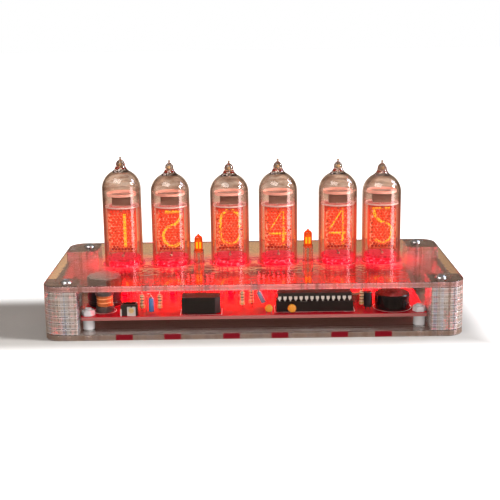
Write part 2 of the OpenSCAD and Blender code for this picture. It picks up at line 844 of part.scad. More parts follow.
// Can with a crimp near its foot and a rounded top
module can(d, h) {
    crimp = d * 0.04;
    crimp_z = d * 0.12;
    top_r = d * 0.05;
    difference() {
        union() {
            cylinder(d = d, h = h - top_r);
            cylinder(d = d - 2 * top_r, h = h);
            translate([0, 0, h - top_r]) rotate_extrude() translate([d / 2 - top_r, 0]) circle(top_r);
        }
        translate([0, 0, crimp_z]) rotate_extrude() translate([d / 2 + crimp * 0.3, 0]) circle(crimp);
    }
}

module electrolytic_capacitors() {
    large = [left + can_d / 2 + seat_gap, choke_y + flange_d / 2 + can_d / 2 + seat_gap];
    small = [right - 27, front + 8];
    small_d = 4;
    small_h = 7.1;
    stand = 1.4;
    color("dimgray") {
        translate([large.x, large.y, deck]) can(can_d, can_h);
        translate([small.x, small.y, deck + stand]) can(small_d, small_h);
        for (side = [-1, 1]) post(small.x + side, small.y, deck, deck + stand + cut);
    }
}

// Barrel inlet: round-backed body, open to the back, with its centre pin
module power_jack() {
    body = [9, 13.5, 11];
    bore_d = 6.4;
    bore_l = 9.5;
    axis_z = body.z - body.x / 2;
    place = [left + 15, back + 3.5];      // middle of the mouth
    collar_l = 2.5;                       // square-topped part behind the mouth
    barrel_in = 0.4;                      // round part inside the collar's outline
    pin_d = 2;
    pin_in = 1;
    color("dimgray") translate([place.x, place.y, deck]) {
        difference() {
            rotate([90, 0, 0]) linear_extrude(body.y) {
                translate([-body.x / 2, 0]) square([body.x, axis_z]);
                translate([0, axis_z]) circle(d = body.x);
            }
            translate([-body.x / 2 - cut, -collar_l, axis_z]) mirror([0, 1, 0])
                cube([body.x + 2 * cut, body.y, body.x]);
            translate([0, cut, axis_z]) rotate([90, 0, 0]) cylinder(d = bore_d, h = bore_l + cut);
        }
        translate([0, -collar_l, axis_z]) rotate([90, 0, 0]) linear_extrude(body.y - collar_l) difference() {
            circle(d = body.x - 2 * barrel_in);
            circle(d = bore_d);
        }
        translate([0, -pin_in, axis_z]) rotate([90, 0, 0]) cylinder(d = pin_d, h = body.y - 2 * pin_in);
    }
}

// ---- Trimmer: frame, metal front plate and the disc that turns in it ----

trim_x = left + 22.6;
trim_y = front + 1.7;
trim_w = 7.7;
trim_d = 4.8;
trim_h = 5.4;
trim_axis = deck + 2.6;
plate_w = 3.9;
plate_h = 4.4;
plate_t = 0.4;
rotor_d = 2.4;
rotor_l = 1.4;
rotor_x = trim_x + 1.1;

module trimmer_body() {
    rim = 1;
    dish_t = 0.8;
    color("dimgray") difference() {
        translate([trim_x - trim_w / 2, trim_y, deck]) cube([trim_w, trim_d, trim_h]);
        translate([rotor_x, trim_y - cut, trim_axis]) rotate([-90, 0, 0])
            cylinder(d = rotor_d + 2 * seat_gap, h = rotor_l + seat_gap + cut);
        translate([trim_x - trim_w / 2 + rim, trim_y + rim, deck + trim_h - dish_t])
            cube([trim_w - 2 * rim, trim_d - 2 * rim, cut]);
    }
}

module trimmer_plate() {
    tab_w = 0.6;
    tab_x = 3.2;          // the tab's left edge to the plate
    tab_low = 1;          // the tab's top below the plate's
    notch_d = 0.8;
    color("silver") {
        translate([rotor_x, trim_y, deck]) rotate([90, 0, 0]) linear_extrude(plate_t) difference() {
            translate([-plate_w / 2, 0]) square([plate_w, plate_h]);
            translate([0, trim_axis - deck]) circle(d = rotor_d + 2 * run_gap);
            translate([0, plate_h]) circle(d = notch_d);
        }
        translate([rotor_x - plate_w / 2 - tab_x, trim_y - plate_t, deck])
            cube([tab_w, plate_t, plate_h - tab_low]);
    }
}

module trimmer_rotor() {
    slot_w = 0.5;
    slot_t = 0.4;
    proud = 0.1;          // in front of the plate
    color("gold") translate([rotor_x, trim_y - plate_t - proud, trim_axis]) rotate([-90, 0, 0]) difference() {
        cylinder(d = rotor_d, h = rotor_l);
        translate([-rotor_d, -slot_w / 2, -cut]) cube([2 * rotor_d, slot_w, cut + slot_t]);
    }
}

// ---- Set buttons at the back ----

button_px = [right - 29, right - 17];
button_body = [6, 4, 7];
button_y = back - 4.5;                // front of the switch's body
button_axis = deck + 4;
plunger_d = 3.4;
plunger_in = 2.2;                     // held in the body at rest
plunger_out = 4.8;

module button_bodies() {
    bore_l = plunger_in + button_travel + seat_gap;
    color("dimgray") for (x = button_px) difference() {
        translate([x - button_body.x / 2, button_y, deck]) cube(button_body);
        translate([x, button_y + button_body.y + cut, button_axis]) rotate([90, 0, 0])
            cylinder(d = plunger_d + 2 * run_gap, h = bore_l + cut);
    }
}

module set_button(i) {
    round_r = 0.4;
    start_y = button_y + button_body.y - plunger_in;
    color("dimgray") translate([button_px[i], start_y, button_axis]) rotate([-90, 0, 0]) rotate_extrude() {
        square([plunger_d / 2, plunger_in + plunger_out - round_r]);
        square([plunger_d / 2 - round_r, plunger_in + plunger_out]);
        translate([plunger_d / 2 - round_r, plunger_in + plunger_out - round_r]) intersection() {
            circle(round_r);
            square(round_r);
        }
    }
}

base_plate();
for (i = [1:5]) frame_layer(-1, i);
for (i = [1:5]) frame_layer(1, i);
corner_spacers();
top_plate();
case_bolts();
circuit_board();
board_standoffs();
board_screws();
board_nuts();
for (i = [1:6]) envelope(i - 1);
for (i = [1:6]) anode(i - 1);
for (i = [1:6]) cathodes(i - 1);
tube_supports();
tube_leads();
underlight_leds();
colon_lamps();
colon_sleeves();
controller_chip();
chip_socket();
driver_chips();
quartz_crystal();
converter_module();
choke_core();
choke_winding();
buzzer();
resistors();
diodes();
ceramic_capacitors();
electrolytic_capacitors();
power_jack();
trimmer_body();
trimmer_plate();
trimmer_rotor();
button_bodies();
for (i = [1:2]) set_button(i - 1);
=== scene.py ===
"""Looks of a clock with six neon numeral tubes in a clear stacked-sheet case."""

import math

import bmesh
import bpy
from bpy.props import FloatProperty, PointerProperty, StringProperty
from mathutils import Matrix, Vector


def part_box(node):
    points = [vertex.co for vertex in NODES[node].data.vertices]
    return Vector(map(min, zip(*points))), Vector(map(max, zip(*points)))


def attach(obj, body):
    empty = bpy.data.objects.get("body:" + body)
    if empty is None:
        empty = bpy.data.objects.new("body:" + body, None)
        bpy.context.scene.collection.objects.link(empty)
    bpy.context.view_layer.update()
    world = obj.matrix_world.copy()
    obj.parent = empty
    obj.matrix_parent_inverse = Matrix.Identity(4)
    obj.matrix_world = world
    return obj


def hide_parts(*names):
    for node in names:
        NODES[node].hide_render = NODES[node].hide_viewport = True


bl_info = {
    "name": "Neon Tube Clock Looks",
    "version": (1, 0, 0),
    "blender": (4, 5, 0),
    "location": "3D View > Sidebar > Tube Clock",
    "description": "Finishes and fine pieces of a six-tube clock in a clear case",
    "category": "Object",
}

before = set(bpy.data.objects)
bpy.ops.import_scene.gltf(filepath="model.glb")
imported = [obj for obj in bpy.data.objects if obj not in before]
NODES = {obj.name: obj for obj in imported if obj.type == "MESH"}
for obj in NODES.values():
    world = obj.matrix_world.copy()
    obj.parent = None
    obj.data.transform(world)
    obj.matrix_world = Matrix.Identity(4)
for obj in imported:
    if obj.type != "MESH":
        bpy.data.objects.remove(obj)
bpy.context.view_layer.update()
MM = 0.001
CLOCK = "clock"

# ---- Places taken from the imported parts ----

CASE_LOW, CASE_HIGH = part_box("base_plate")
LID_LOW, LID_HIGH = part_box("top_plate")
BOARD_LOW, BOARD_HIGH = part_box("circuit_board")
LID_Z = LID_HIGH[2]
SHEET_T = LID_HIGH[2] - LID_LOW[2]
DECK = BOARD_HIGH[2]

# The tubes from left to right, what each shows, and its numerals front to back
TUBES = range(1, 7)
SHOWN = (1, 2, 0, 4, 4, 5)
STACK = (1, 6, 2, 7, 5, 0, 4, 9, 8, 3)


def middle(node):
    """Centre of a node's box, in metres."""
    low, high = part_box(node)
    return Vector((a + b) / 2 for a, b in zip(low, high))


def on_board(from_left, from_front):
    """A place in metres, from the board's left and front edges in millimetres."""
    return BOARD_LOW[0] + from_left * MM, BOARD_LOW[1] + from_front * MM


# ---- Camera ----


def place_camera():
    """Camera at the photograph's angle: a little above the lid, square on."""
    focal_px = 1038.0
    frame_px = 500.0
    elevation = math.radians(13.3)
    azimuth = math.radians(0.13)
    roll = math.radians(-0.75)
    distance = 517 * MM
    target = Vector((-1.4, 0, 31.6)) * MM
    ahead = Vector((
        math.sin(azimuth) * math.cos(elevation),
        math.cos(azimuth) * math.cos(elevation),
        -math.sin(elevation),
    ))
    level = Vector((math.cos(azimuth), -math.sin(azimuth), 0))
    upright = level.cross(ahead)
    right = level * math.cos(roll) + upright * math.sin(roll)
    up = right.cross(ahead)
    sensor_mm = 36
    data = bpy.data.cameras.new("camera")
    data.sensor_width = sensor_mm
    data.lens = sensor_mm * focal_px / frame_px
    data.clip_start = 0.01
    camera = bpy.data.objects.new("camera", data)
    turn = Matrix((right, up, -ahead)).transposed()
    camera.matrix_world = Matrix.Translation(target - ahead * distance) @ turn.to_4x4()
    bpy.context.scene.collection.objects.link(camera)
    bpy.context.scene.camera = camera


# ---- Materials ----


def tone(hex_code):
    """An sRGB hex colour as linear RGBA."""
    parts = [int(hex_code[i:i + 2], 16) / 255 for i in (1, 3, 5)]
    return tuple(c / 12.92 if c <= 0.04045 else ((c + 0.055) / 1.055) ** 2.4 for c in parts) + (1.0,)


def dimmed(hex_code, share):
    """A colour made darker by a share, as linear RGBA."""
    return tuple(c * (1 - share) for c in tone(hex_code)[:3]) + (1.0,)


def feed(node, **inputs):
    """Sets or links a node's inputs. A name has underscores for its spaces, and
    i0, i1 and so on mean an input by its number."""
    for key, value in inputs.items():
        by_number = key[0] == "i" and key[1:].isdigit()
        socket = node.inputs[int(key[1:]) if by_number else key.replace("_", " ")]
        if isinstance(value, bpy.types.NodeSocket):
            node.id_data.links.new(value, socket)
        else:
            socket.default_value = value
    return node


def blank(name, **inputs):
    """A new material with one Principled shader: (material, tree, shader)."""
    made = bpy.data.materials.new(name)
    made.use_nodes = True
    tree = made.node_tree
    return made, tree, feed(tree.nodes["Principled BSDF"], **inputs)


def add(tree, kind, settings=None, **inputs):
    """Adds a node with its settings and its inputs."""
    node = tree.nodes.new(kind)
    for key, value in (settings or {}).items():
        setattr(node, key, value)
    return feed(node, **inputs)


def place_of(tree):
    """Object coordinates as one socket, in metres."""
    return add(tree, "ShaderNodeTexCoord").outputs["Object"]


def axes_of(tree):
    """Object coordinates as x, y and z sockets, in metres."""
    return add(tree, "ShaderNodeSeparateXYZ", i0=place_of(tree)).outputs


def facing_up(tree):
    """How level a face is: 1 where it looks straight up or down, 0 on a wall."""
    normal = add(tree, "ShaderNodeNewGeometry").outputs["Normal"]
    return math_of(tree, "ABSOLUTE", add(tree, "ShaderNodeSeparateXYZ", i0=normal).outputs[2])


def math_of(tree, operation, a, b=0.0):
    """One Math node's output."""
    return add(tree, "ShaderNodeMath", {"operation": operation}, i0=a, i1=b).outputs[0]


def span_of(tree, value, start, end, low=0.0, high=1.0, smooth=False):
    """A socket that goes from low to high while value goes from start to end."""
    kind = {"interpolation_type": "SMOOTHSTEP" if smooth else "LINEAR"}
    return add(tree, "ShaderNodeMapRange", kind, i0=value, i1=start, i2=end, i3=low, i4=high).outputs[0]


def blend_of(tree, factor, low, high):
    """Colour that goes from low to high with a factor socket."""
    return add(tree, "ShaderNodeMix", {"data_type": "RGBA"}, i0=factor, i6=low, i7=high).outputs[2]


def ramp_of(tree, factor, stops, hard=False):
    """Colour ramp of (position, hex) stops along a factor socket."""
    node = add(tree, "ShaderNodeValToRGB", i0=factor)
    ramp = node.color_ramp
    ramp.interpolation = "CONSTANT" if hard else "LINEAR"
    for k, (position, hex_code) in enumerate(stops):
        stop = ramp.elements[k] if k < 2 else ramp.elements.new(position)
        stop.position = position
        stop.color = tone(hex_code)
    return node.outputs[0]


def grain(tree, size_mm, detail=2.0, vector=None):
    """Noise whose cells are size_mm across."""
    vector = vector or place_of(tree)
    return add(tree, "ShaderNodeTexNoise", Vector=vector, Scale=1 / (size_mm * MM), Detail=detail).outputs[0]


def bump(tree, shader, height, depth_mm):
    """Relief on a shader, depth_mm deep."""
    relief = add(tree, "ShaderNodeBump", Strength=1.0, Distance=depth_mm * MM, Height=height)
    feed(shader, Normal=relief.outputs[0])


def solid(name, hex_code, roughness=0.5, metallic=0.0, speckle_mm=0.8, vary=0.12, depth_mm=0.01):
    """A plain material whose tone and relief vary a little over the surface."""
    made, tree, shader = blank(name, Roughness=roughness, Metallic=metallic, IOR=1.5)
    noise = grain(tree, speckle_mm)
    feed(shader, Base_Color=blend_of(tree, noise, dimmed(hex_code, vary), tone(hex_code)))
    bump(tree, shader, noise, depth_mm)
    return made


def beside_tubes(tree, across):
    """Sideways distance in metres from the nearest tube's axis."""
    aside = None
    for i in TUBES:
        offset = math_of(tree, "SUBTRACT", across, middle(f"tube_{i}_envelope").x)
        gap = math_of(tree, "ABSOLUTE", offset)
        aside = gap if aside is None else math_of(tree, "MINIMUM", aside, gap)
    return aside


def near_tubes(tree, axes):
    """Distance in metres from the nearest tube's axis."""
    aside = beside_tubes(tree, axes[0])
    along = math_of(tree, "SUBTRACT", axes[1], middle("tube_1_envelope").y)
    squares = [math_of(tree, "MULTIPLY", side, side) for side in (aside, along)]
    return math_of(tree, "SQRT", math_of(tree, "ADD", *squares))


def cast_sheet(name, lit=""):
    """Cast acrylic sheet: clear faces, and laser-cut edges that are slightly
    frosted and streaked by the cut, with a dark line at each joint. The edges
    carry painted highlights: white bands beside the joints, and white and
    bluish painted reflections in the streaks. The lid has a painted red glow
    round its tubes, for the red light from below, and the base has painted
    red glow patches on its front edge and a painted shade tone on its edges."""
    made, tree, shader = blank(name, IOR=1.49, Emission_Color=tone(look().led_glow))
    where = place_of(tree)
    axes = axes_of(tree)
    cut_edge = span_of(tree, facing_up(tree), 0.5, 0.2)
    pitch = math_of(tree, "FRACT", math_of(tree, "MULTIPLY", axes[2], 1 / SHEET_T))
    # Per sheet: a dark line at each joint, and white painted highlights along the sheet's top and bottom
    # edges.
    lines = ramp_of(tree, pitch, (
        (0.0, "#9C928C"), (0.05, "#A8A09A"), (0.11, "#FFFFFF"), (0.2, "#FFFFFF"), (0.3, "#CCC2BC"),
        (0.7, "#D6CEC8"), (0.84, "#FFFFFF"), (0.93, "#FFFFFF"), (1.0, "#9C928C")))
    columns = add(tree, "ShaderNodeMapping", i0=where, Scale=(1, 1, 0.02))
    # Streaks of the cut, coloured with white painted highlights and bluish painted reflections.
    cut_streaks_and_painted_highlights = ramp_of(tree, grain(tree, 2.6, 3.0, columns.outputs[0]), (
        (0.36, "#BCB0A8"), (0.42, "#F6F2EE"), (0.46, "#FFFFFF"), (0.5, "#D4CAC4"), (0.54, "#FFFFFF"),
        (0.6, "#CCDFF6"), (0.67, "#B8ACA8")))
    multiply = {"data_type": "RGBA", "blend_type": "MULTIPLY"}
    edge_tone_and_painted_light = add(tree, "ShaderNodeMix", multiply, i0=1.0, i6=lines, i7=cut_streaks_and_painted_highlights).outputs[2]
    tint = tone(look().sheet_tint)
    if lit == "lid":
        # Painted red glow: near the tubes the faces turn pink and shine red in patches, and all the lid's cut
        # edges are painted pink, for the red light from below.
        painted_glow_near_tubes = span_of(tree, near_tubes(tree, axes), 25 * MM, 6 * MM, smooth=True)
        tint = blend_of(tree, painted_glow_near_tubes, tint, tone("#FFC4C0"))
        edge_tone_and_painted_light = blend_of(tree, 0.6, edge_tone_and_painted_light, tone("#D88A80"))
        painted_glow_patches = math_of(tree, "MULTIPLY", grain(tree, 5.0, 3.0), 0.5)
        feed(shader, Emission_Strength=math_of(tree, "MULTIPLY", painted_glow_near_tubes, painted_glow_patches))
    if lit == "base":
        # Painted red glow patches on the front edge below the tubes. The front edge is nearer to the camera
        # than the tubes, so the patches are drawn closer together
        toward_camera = 1.067
        half_patch = 4.2 * MM
        skin = 1 * MM
        across = beside_tubes(tree, math_of(tree, "MULTIPLY", axes[0], toward_camera))
        front = math_of(tree, "LESS_THAN", axes[1], CASE_LOW[1] + skin)
        under = math_of(tree, "MULTIPLY", math_of(tree, "LESS_THAN", across, half_patch), front)
        # Painted shade: a tan tone over all the base's cut edges, for the shaded floor seen through them.
        edge_tone_and_painted_light = blend_of(tree, 0.7, edge_tone_and_painted_light, tone("#A88470"))
        edge_tone_and_painted_light = blend_of(tree, under, edge_tone_and_painted_light, tone("#7A0C22"))
        feed(shader, Emission_Strength=math_of(tree, "MULTIPLY", under, 0.1))
    feed(
        shader, Base_Color=blend_of(tree, cut_edge, tint, edge_tone_and_painted_light),
        Roughness=span_of(tree, cut_edge, 0, 1, 0.01, 0.06),
        Transmission_Weight=span_of(tree, cut_edge, 0, 1, 1.0, 0.66))
    stretch = add(tree, "ShaderNodeMapping", i0=where, Scale=(1, 1, 0.05))
    bump(tree, shader, grain(tree, 2.5, 1.0, stretch.outputs[0]), 0.03)
    return made


def blown_glass():
    """Soda-lime glass blown and drawn to a tip: clear, with a light tan haze of
    getter metal inside the dome, painted brown shade at its rims, and a faint
    painted red glow in its rims up to the top of the numerals."""
    made, tree, shader = blank(
        "blown_soda_glass", Roughness=0.0, IOR=1.5, Transmission_Weight=1.0, Emission_Color=tone("#F04020"))
    height = axes_of(tree)[2]
    flat = add(tree, "ShaderNodeMapping", i0=place_of(tree), Scale=(0.3, 0.3, 1))
    film = ramp_of(tree, grain(tree, 3.2, 3.0, flat.outputs[0]), (
        (0.34, "#B8A092"), (0.44, "#DCCCC0"), (0.5, look().getter_haze), (0.58, "#FFFEFC"),
        (0.68, "#D8C4B6")))
    grazing = add(tree, "ShaderNodeLayerWeight", Blend=0.3).outputs["Facing"]
    rim = span_of(tree, grazing, 0.17, 0.55)
    # Painted shade: the walls turn brown at grazing angles.
    wall = blend_of(tree, rim, tone("#FDF4F0"), tone("#985444"))
    haze = span_of(tree, height, LID_Z + 30 * MM, LID_Z + 42 * MM)
    # Painted red glow in the rims, up to the top of the numerals.
    glow_top = span_of(tree, height, LID_Z + 31 * MM, LID_Z + 26 * MM)
    painted_rim_glow = math_of(tree, "MULTIPLY", math_of(tree, "MULTIPLY", rim, glow_top), 0.22)
    feed(shader, Base_Color=blend_of(tree, haze, wall, film), Emission_Strength=painted_rim_glow)
    bump(tree, shader, grain(tree, 9, 0.0), 0.006)
    return made


def glow(name, hex_code, strength, base="#201008", patch_mm=1.0, vary=0.0, roughness=0.5, metallic=0.0):
    """A surface that shines by itself; vary breaks it up in patches patch_mm wide."""
    made, tree, shader = blank(
        name, Base_Color=tone(base), Roughness=roughness, Metallic=metallic, Emission_Color=tone(hex_code),
        Emission_Strength=strength)
    if vary:
        patches = grain(tree, patch_mm)
        feed(shader, Emission_Color=blend_of(tree, patches, dimmed(hex_code, vary), tone(hex_code)))
    return made


def veil(name, hex_code, cover, rim_cover=None):
    """A thin glowing haze. Cover is how much of what lies behind it is hidden,
    and rim_cover says it for the walls that are seen at a grazing angle."""
    made = bpy.data.materials.new(name)
    made.use_nodes = True
    tree = made.node_tree
    tree.nodes.clear()
    if rim_cover is not None:
        facing = add(tree, "ShaderNodeLayerWeight", Blend=0.5).outputs["Facing"]
        cover = span_of(tree, facing, 0, 1, cover, rim_cover)
    shine = add(tree, "ShaderNodeEmission", Color=tone(hex_code), Strength=1.0)
    clear = add(tree, "ShaderNodeBsdfTransparent")
    both = add(tree, "ShaderNodeMixShader", i0=cover, i1=clear.outputs[0], i2=shine.outputs[0])
    add(tree, "ShaderNodeOutputMaterial", Surface=both.outputs[0])
    return made


# ---- Settings that a user would change ----


class TubeClockLook(bpy.types.PropertyGroup):
    """Colours and levels of the clock's finishes."""

    sheet_tint: StringProperty(name="Sheet tint", description="sRGB tint of the sheets", default="#F8F4F1")
    getter_haze: StringProperty(name="Getter haze", description="sRGB tint of the domes", default="#F3E6DA")
    board_colour: StringProperty(name="Board", description="sRGB colour of the lacquer", default="#A80418")
    # The colour of the painted glow on the anode mesh.
    neon_mesh: StringProperty(name="Mesh glow", description="sRGB glow on the anode mesh", default="#F83A22")
    neon_line: StringProperty(name="Numeral glow", description="sRGB glow of lit numerals", default="#FFD038")
    # The red lamps' colour, also used for the painted red glow on the lid, the base, the foot glass and the
    # ceramic.
    led_glow: StringProperty(name="Underlight", description="sRGB colour of the red lamps", default="#FF0A30")
    led_power: FloatProperty(
        name="Underlight power", description="Power of one red lamp", default=0.26, min=0, unit="POWER")
    key_power: FloatProperty(
        name="Key strength", description="Strength of the low sun at the right", default=6.5, min=0)


def look():
    """The clock's settings."""
    return bpy.context.scene.tube_clock_look


# ---- Making pieces ----


def finish(obj, material, smooth=True):
    """Gives a piece its one material and its shading."""
    obj.data.materials.clear()
    obj.data.materials.append(material)
    if smooth and obj.type == "MESH":
        obj.data.polygons.foreach_set("use_smooth", [True] * len(obj.data.polygons))
    return obj


def piece(name, mesh_code, material, smooth=True):
    """A new piece from a bmesh, riding on the clock."""
    mesh = bpy.data.meshes.new(name)
    mesh_code.to_mesh(mesh)
    mesh_code.free()
    obj = bpy.data.objects.new(name, mesh)
    bpy.context.scene.collection.objects.link(obj)
    finish(obj, material, smooth)
    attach(obj, CLOCK)
    return obj


def lathe(profile, centre, steps=64, inward=False, target=None):
    """A bmesh turned from (radius, height) points round a vertical axis, in metres."""
    made = target or bmesh.new()
    ring = [made.verts.new((centre[0] + r, centre[1], centre[2] + z)) for r, z in profile]
    edges = [made.edges.new(pair) for pair in zip(ring, ring[1:])]
    bmesh.ops.spin(
        made, geom=ring + edges, cent=centre, axis=(0, 0, 1), angle=math.tau, steps=steps, use_merge=True)
    bmesh.ops.remove_doubles(made, verts=made.verts, dist=1e-6)
    faces = list(made.faces) if target is None else [f for f in made.faces if not f.tag]
    bmesh.ops.recalc_face_normals(made, faces=faces)
    if inward:
        bmesh.ops.reverse_faces(made, faces=faces)
    for face in made.faces:
        face.tag = True
    return made


def arc(cx, cz, radius, start, end, count=12):
    """Points on an arc, as (x, z) pairs; angles in degrees, counter-clockwise."""
    turns = [math.radians(start + (end - start) * k / count) for k in range(count + 1)]
    return [(cx + radius * math.cos(t), cz + radius * math.sin(t)) for t in turns]


def rod(target, centre, radius, height):
    """Adds an upright closed rod to a bmesh."""
    bmesh.ops.create_cone(
        target, cap_ends=True, segments=12, radius1=radius, radius2=radius, depth=height,
        matrix=Matrix.Translation((centre[0], centre[1], centre[2] + height / 2)))


def block(target, low, high):
    """Adds a box between two corners to a bmesh."""
    span = [b - a for a, b in zip(low, high)]
    centre = [(a + b) / 2 for a, b in zip(low, high)]
    bmesh.ops.create_cube(target, size=1, matrix=Matrix.Translation(centre) @ Matrix.Diagonal((*span, 1)))


def polish(node, material, edge_mm, inset_mm=0.0):
    """Rounds a CAD solid's edges, and can keep it a hair clear of the next one."""
    obj = NODES[node]
    finish(obj, material)
    weld = obj.modifiers.new("weld", "WELD")
    weld.merge_threshold = 0.002 * MM
    if inset_mm:
        inset = obj.modifiers.new("inset", "DISPLACE")
        inset.mid_level = 0.0
        inset.strength = -inset_mm * MM
    edge = obj.modifiers.new("edge", "BEVEL")
    edge.width = edge_mm * MM
    edge.segments = 2
    edge.limit_method = "ANGLE"
    edge.angle_limit = math.radians(40)
    level = obj.modifiers.new("level", "WEIGHTED_NORMAL")
    level.keep_sharp = False
    return obj


# ---- Stage ----


class CLOCK_OT_stage(bpy.types.Operator):
    """Camera, floor, room and lamps"""

    bl_idname = "tube_clock.stage"
    bl_label = "Stage"

    def execute(self, context):
        place_camera()
        self.room(context.scene)
        self.floor()
        self.lamps()
        return {"FINISHED"}

    def room(self, scene):
        """White to the camera; to the clock, a white sweep behind it and a warm,
        darker room at its sides and in front, with a soft ceiling."""
        world = bpy.data.worlds.new("room")
        scene.world = world
        world.use_nodes = True
        tree = world.node_tree
        tree.nodes.clear()
        to_camera = add(tree, "ShaderNodeLightPath").outputs["Is Camera Ray"]
        direction = add(tree, "ShaderNodeTexCoord").outputs["Generated"]
        axes = add(tree, "ShaderNodeSeparateXYZ", i0=direction).outputs
        room = ramp_of(tree, span_of(tree, axes[2], -0.6, 1.0), (
            (0.0, "#9C8A7C"), (0.3, "#70594C"), (0.42, "#5A463A"), (0.55, "#84705E"), (0.75, "#A4988E"),
            (1.0, "#8A807A")))
        sweep = ramp_of(tree, span_of(tree, axes[1], -1.0, 1.0), (
            (0.0, "#000000"), (0.93, "#000000"), (0.972, "#FFFFFF"), (1.0, "#FFFFFF")))
        behind = ramp_of(tree, span_of(tree, axes[2], -0.3, 0.5), (
            (0.0, "#F0BC88"), (0.1, "#F0BC88"), (0.17, "#DCC2B0"), (0.4, "#D8BEAC"), (0.56, "#94796A"),
            (1.0, "#A89484")))
        patches = add(tree, "ShaderNodeTexNoise", Vector=direction, Scale=2.6, Detail=2.0)
        swing = span_of(tree, patches.outputs[0], 0.35, 0.65, 0.45, 1.5)
        white = (1, 1, 1, 1)
        around = blend_of(tree, sweep, room, behind)
        shine = add(
            tree, "ShaderNodeBackground", Color=blend_of(tree, to_camera, around, white),
            Strength=blend_of(tree, to_camera, swing, white))
        add(tree, "ShaderNodeOutputWorld", Surface=shine.outputs[0])

    def floor(self):
        """Pale floor that keeps the clock's shadow. Away from the shadow it shines
        to the camera, so that it joins the backdrop, and the band's edges also
        draw part of the shadow's outline. Glass shows only the part of it that
        lies under the clock, with a faint painted reddish glow, and the room around."""
        far = self.sheet_of_paper("floor", 3000, 3000, -0.02, 0.0)
        far.visible_glossy = False
        far.visible_transmission = False
        inset = 0.5
        self.sheet_of_paper("floor_under", CASE_HIGH[0] / MM - inset, CASE_HIGH[1] / MM - inset, -0.01, 0.06)

    def sheet_of_paper(self, name, half_x, half_y, height, through_glass):
        """One sheet of the floor, with its half sides and height in millimetres.
        Through_glass is how much painted reddish glow it shows to the rays that
        pass glass and to reflected rays."""
        made = bmesh.new()
        bmesh.ops.create_grid(made, x_segments=1, y_segments=1, size=1)
        bmesh.ops.scale(made, verts=made.verts, vec=(half_x * MM, half_y * MM, 1))
        mesh = bpy.data.meshes.new(name)
        made.to_mesh(mesh)
        made.free()
        sheet = bpy.data.objects.new(name, mesh)
        bpy.context.scene.collection.objects.link(sheet)
        paper, tree, shader = blank(
            "white_paper", Base_Color=(0.38, 0.38, 0.38, 1), Roughness=0.9, Specular_IOR_Level=0.0)
        path = add(tree, "ShaderNodeLightPath").outputs
        through = math_of(tree, "ADD", path["Is Transmission Ray"], path["Is Glossy Ray"])
        seen = math_of(tree, "MULTIPLY", self.away_from_shadow(tree), path["Is Camera Ray"])
        lit = math_of(tree, "ADD", seen, math_of(tree, "MULTIPLY", through, through_glass))
        # Painted reddish glow for rays through glass and for reflections; the camera sees white.
        tint = blend_of(tree, path["Is Camera Ray"], tone("#C08070"), (1, 1, 1, 1))
        feed(shader, Emission_Color=tint, Emission_Strength=lit)
        finish(sheet, paper, smooth=False)
        sheet.location.z = height * MM
        return sheet

    def away_from_shadow(self, tree):
        """0 in a band that holds the clock and its shadow, and 1 well outside it.
        Where the band's back edge stops short of the real shadow, the white paints
        over it, so the band's edges draw part of the shadow's outline. The band's
        left end fades more slowly than its other sides."""
        band_front = 46 * MM
        band_back = 12 * MM
        band_right = 98 * MM
        band_left = 170 * MM
        left_slope = -0.4
        soft = 24 * MM
        axes = axes_of(tree)
        ahead = math_of(tree, "SUBTRACT", math_of(tree, "MULTIPLY", axes[1], -1.0), band_front)
        behind = math_of(tree, "SUBTRACT", axes[1], band_back)
        right = math_of(tree, "SUBTRACT", axes[0], band_right)
        left = math_of(tree, "MULTIPLY", math_of(tree, "ADD", axes[0], band_left), left_slope)
        along = math_of(tree, "MAXIMUM", ahead, behind)
        across = math_of(tree, "MAXIMUM", right, left)
        return span_of(tree, math_of(tree, "MAXIMUM", along, across), 0.0, soft, smooth=True)

    def lamps(self):
        """A low soft sun from the right, a tall strip and a window that show in the
        glass, a ceiling above, and a front fill that no glass shows."""
        sun = bpy.data.lights.new("key", "SUN")
        sun.energy = look().key_power
        sun.angle = math.radians(14)
        sun.color = tone("#FFFCF8")[:3]
        key = bpy.data.objects.new("key", sun)
        toward = Vector((-1, 0.2, -0.5))
        key.rotation_euler = toward.to_track_quat("-Z", "Y").to_euler()
        bpy.context.scene.collection.objects.link(key)
        self.area("strip", (640, -270, -40), 250, 560, 2.3, "#FFE0E6")
        self.area("window", (560, 150, 400), 150, 280, 1.6, "#DCE8FF")
        self.area("ceiling", (-260, -380, 620), 560, 300, 2.6, "#FFF8F2")
        fill = self.area("fill", (-100, -620, 80), 600, 200, 2.2, "#FFF6EE")
        fill.visible_glossy = False
        fill.visible_transmission = False

    def area(self, name, place, width, height, power, hex_code):
        """One soft lamp, aimed at the clock; place and sides in millimetres. The
        strip stands upright."""
        data = bpy.data.lights.new(name, "AREA")
        data.shape = "RECTANGLE"
        data.size = width * MM
        data.size_y = height * MM
        data.energy = power
        data.color = tone(hex_code)[:3]
        lamp = bpy.data.objects.new(name, data)
        spot = Vector(place) * MM
        aim = Vector((0, 0, 40)) * MM - spot
        if name == "strip":
            aim.z = 0
        lamp.rotation_euler = aim.to_track_quat("-Z", "Y").to_euler()
        lamp.location = spot
        lamp.visible_camera = False
        bpy.context.scene.collection.objects.link(lamp)
        return lamp


# ---- Case ----


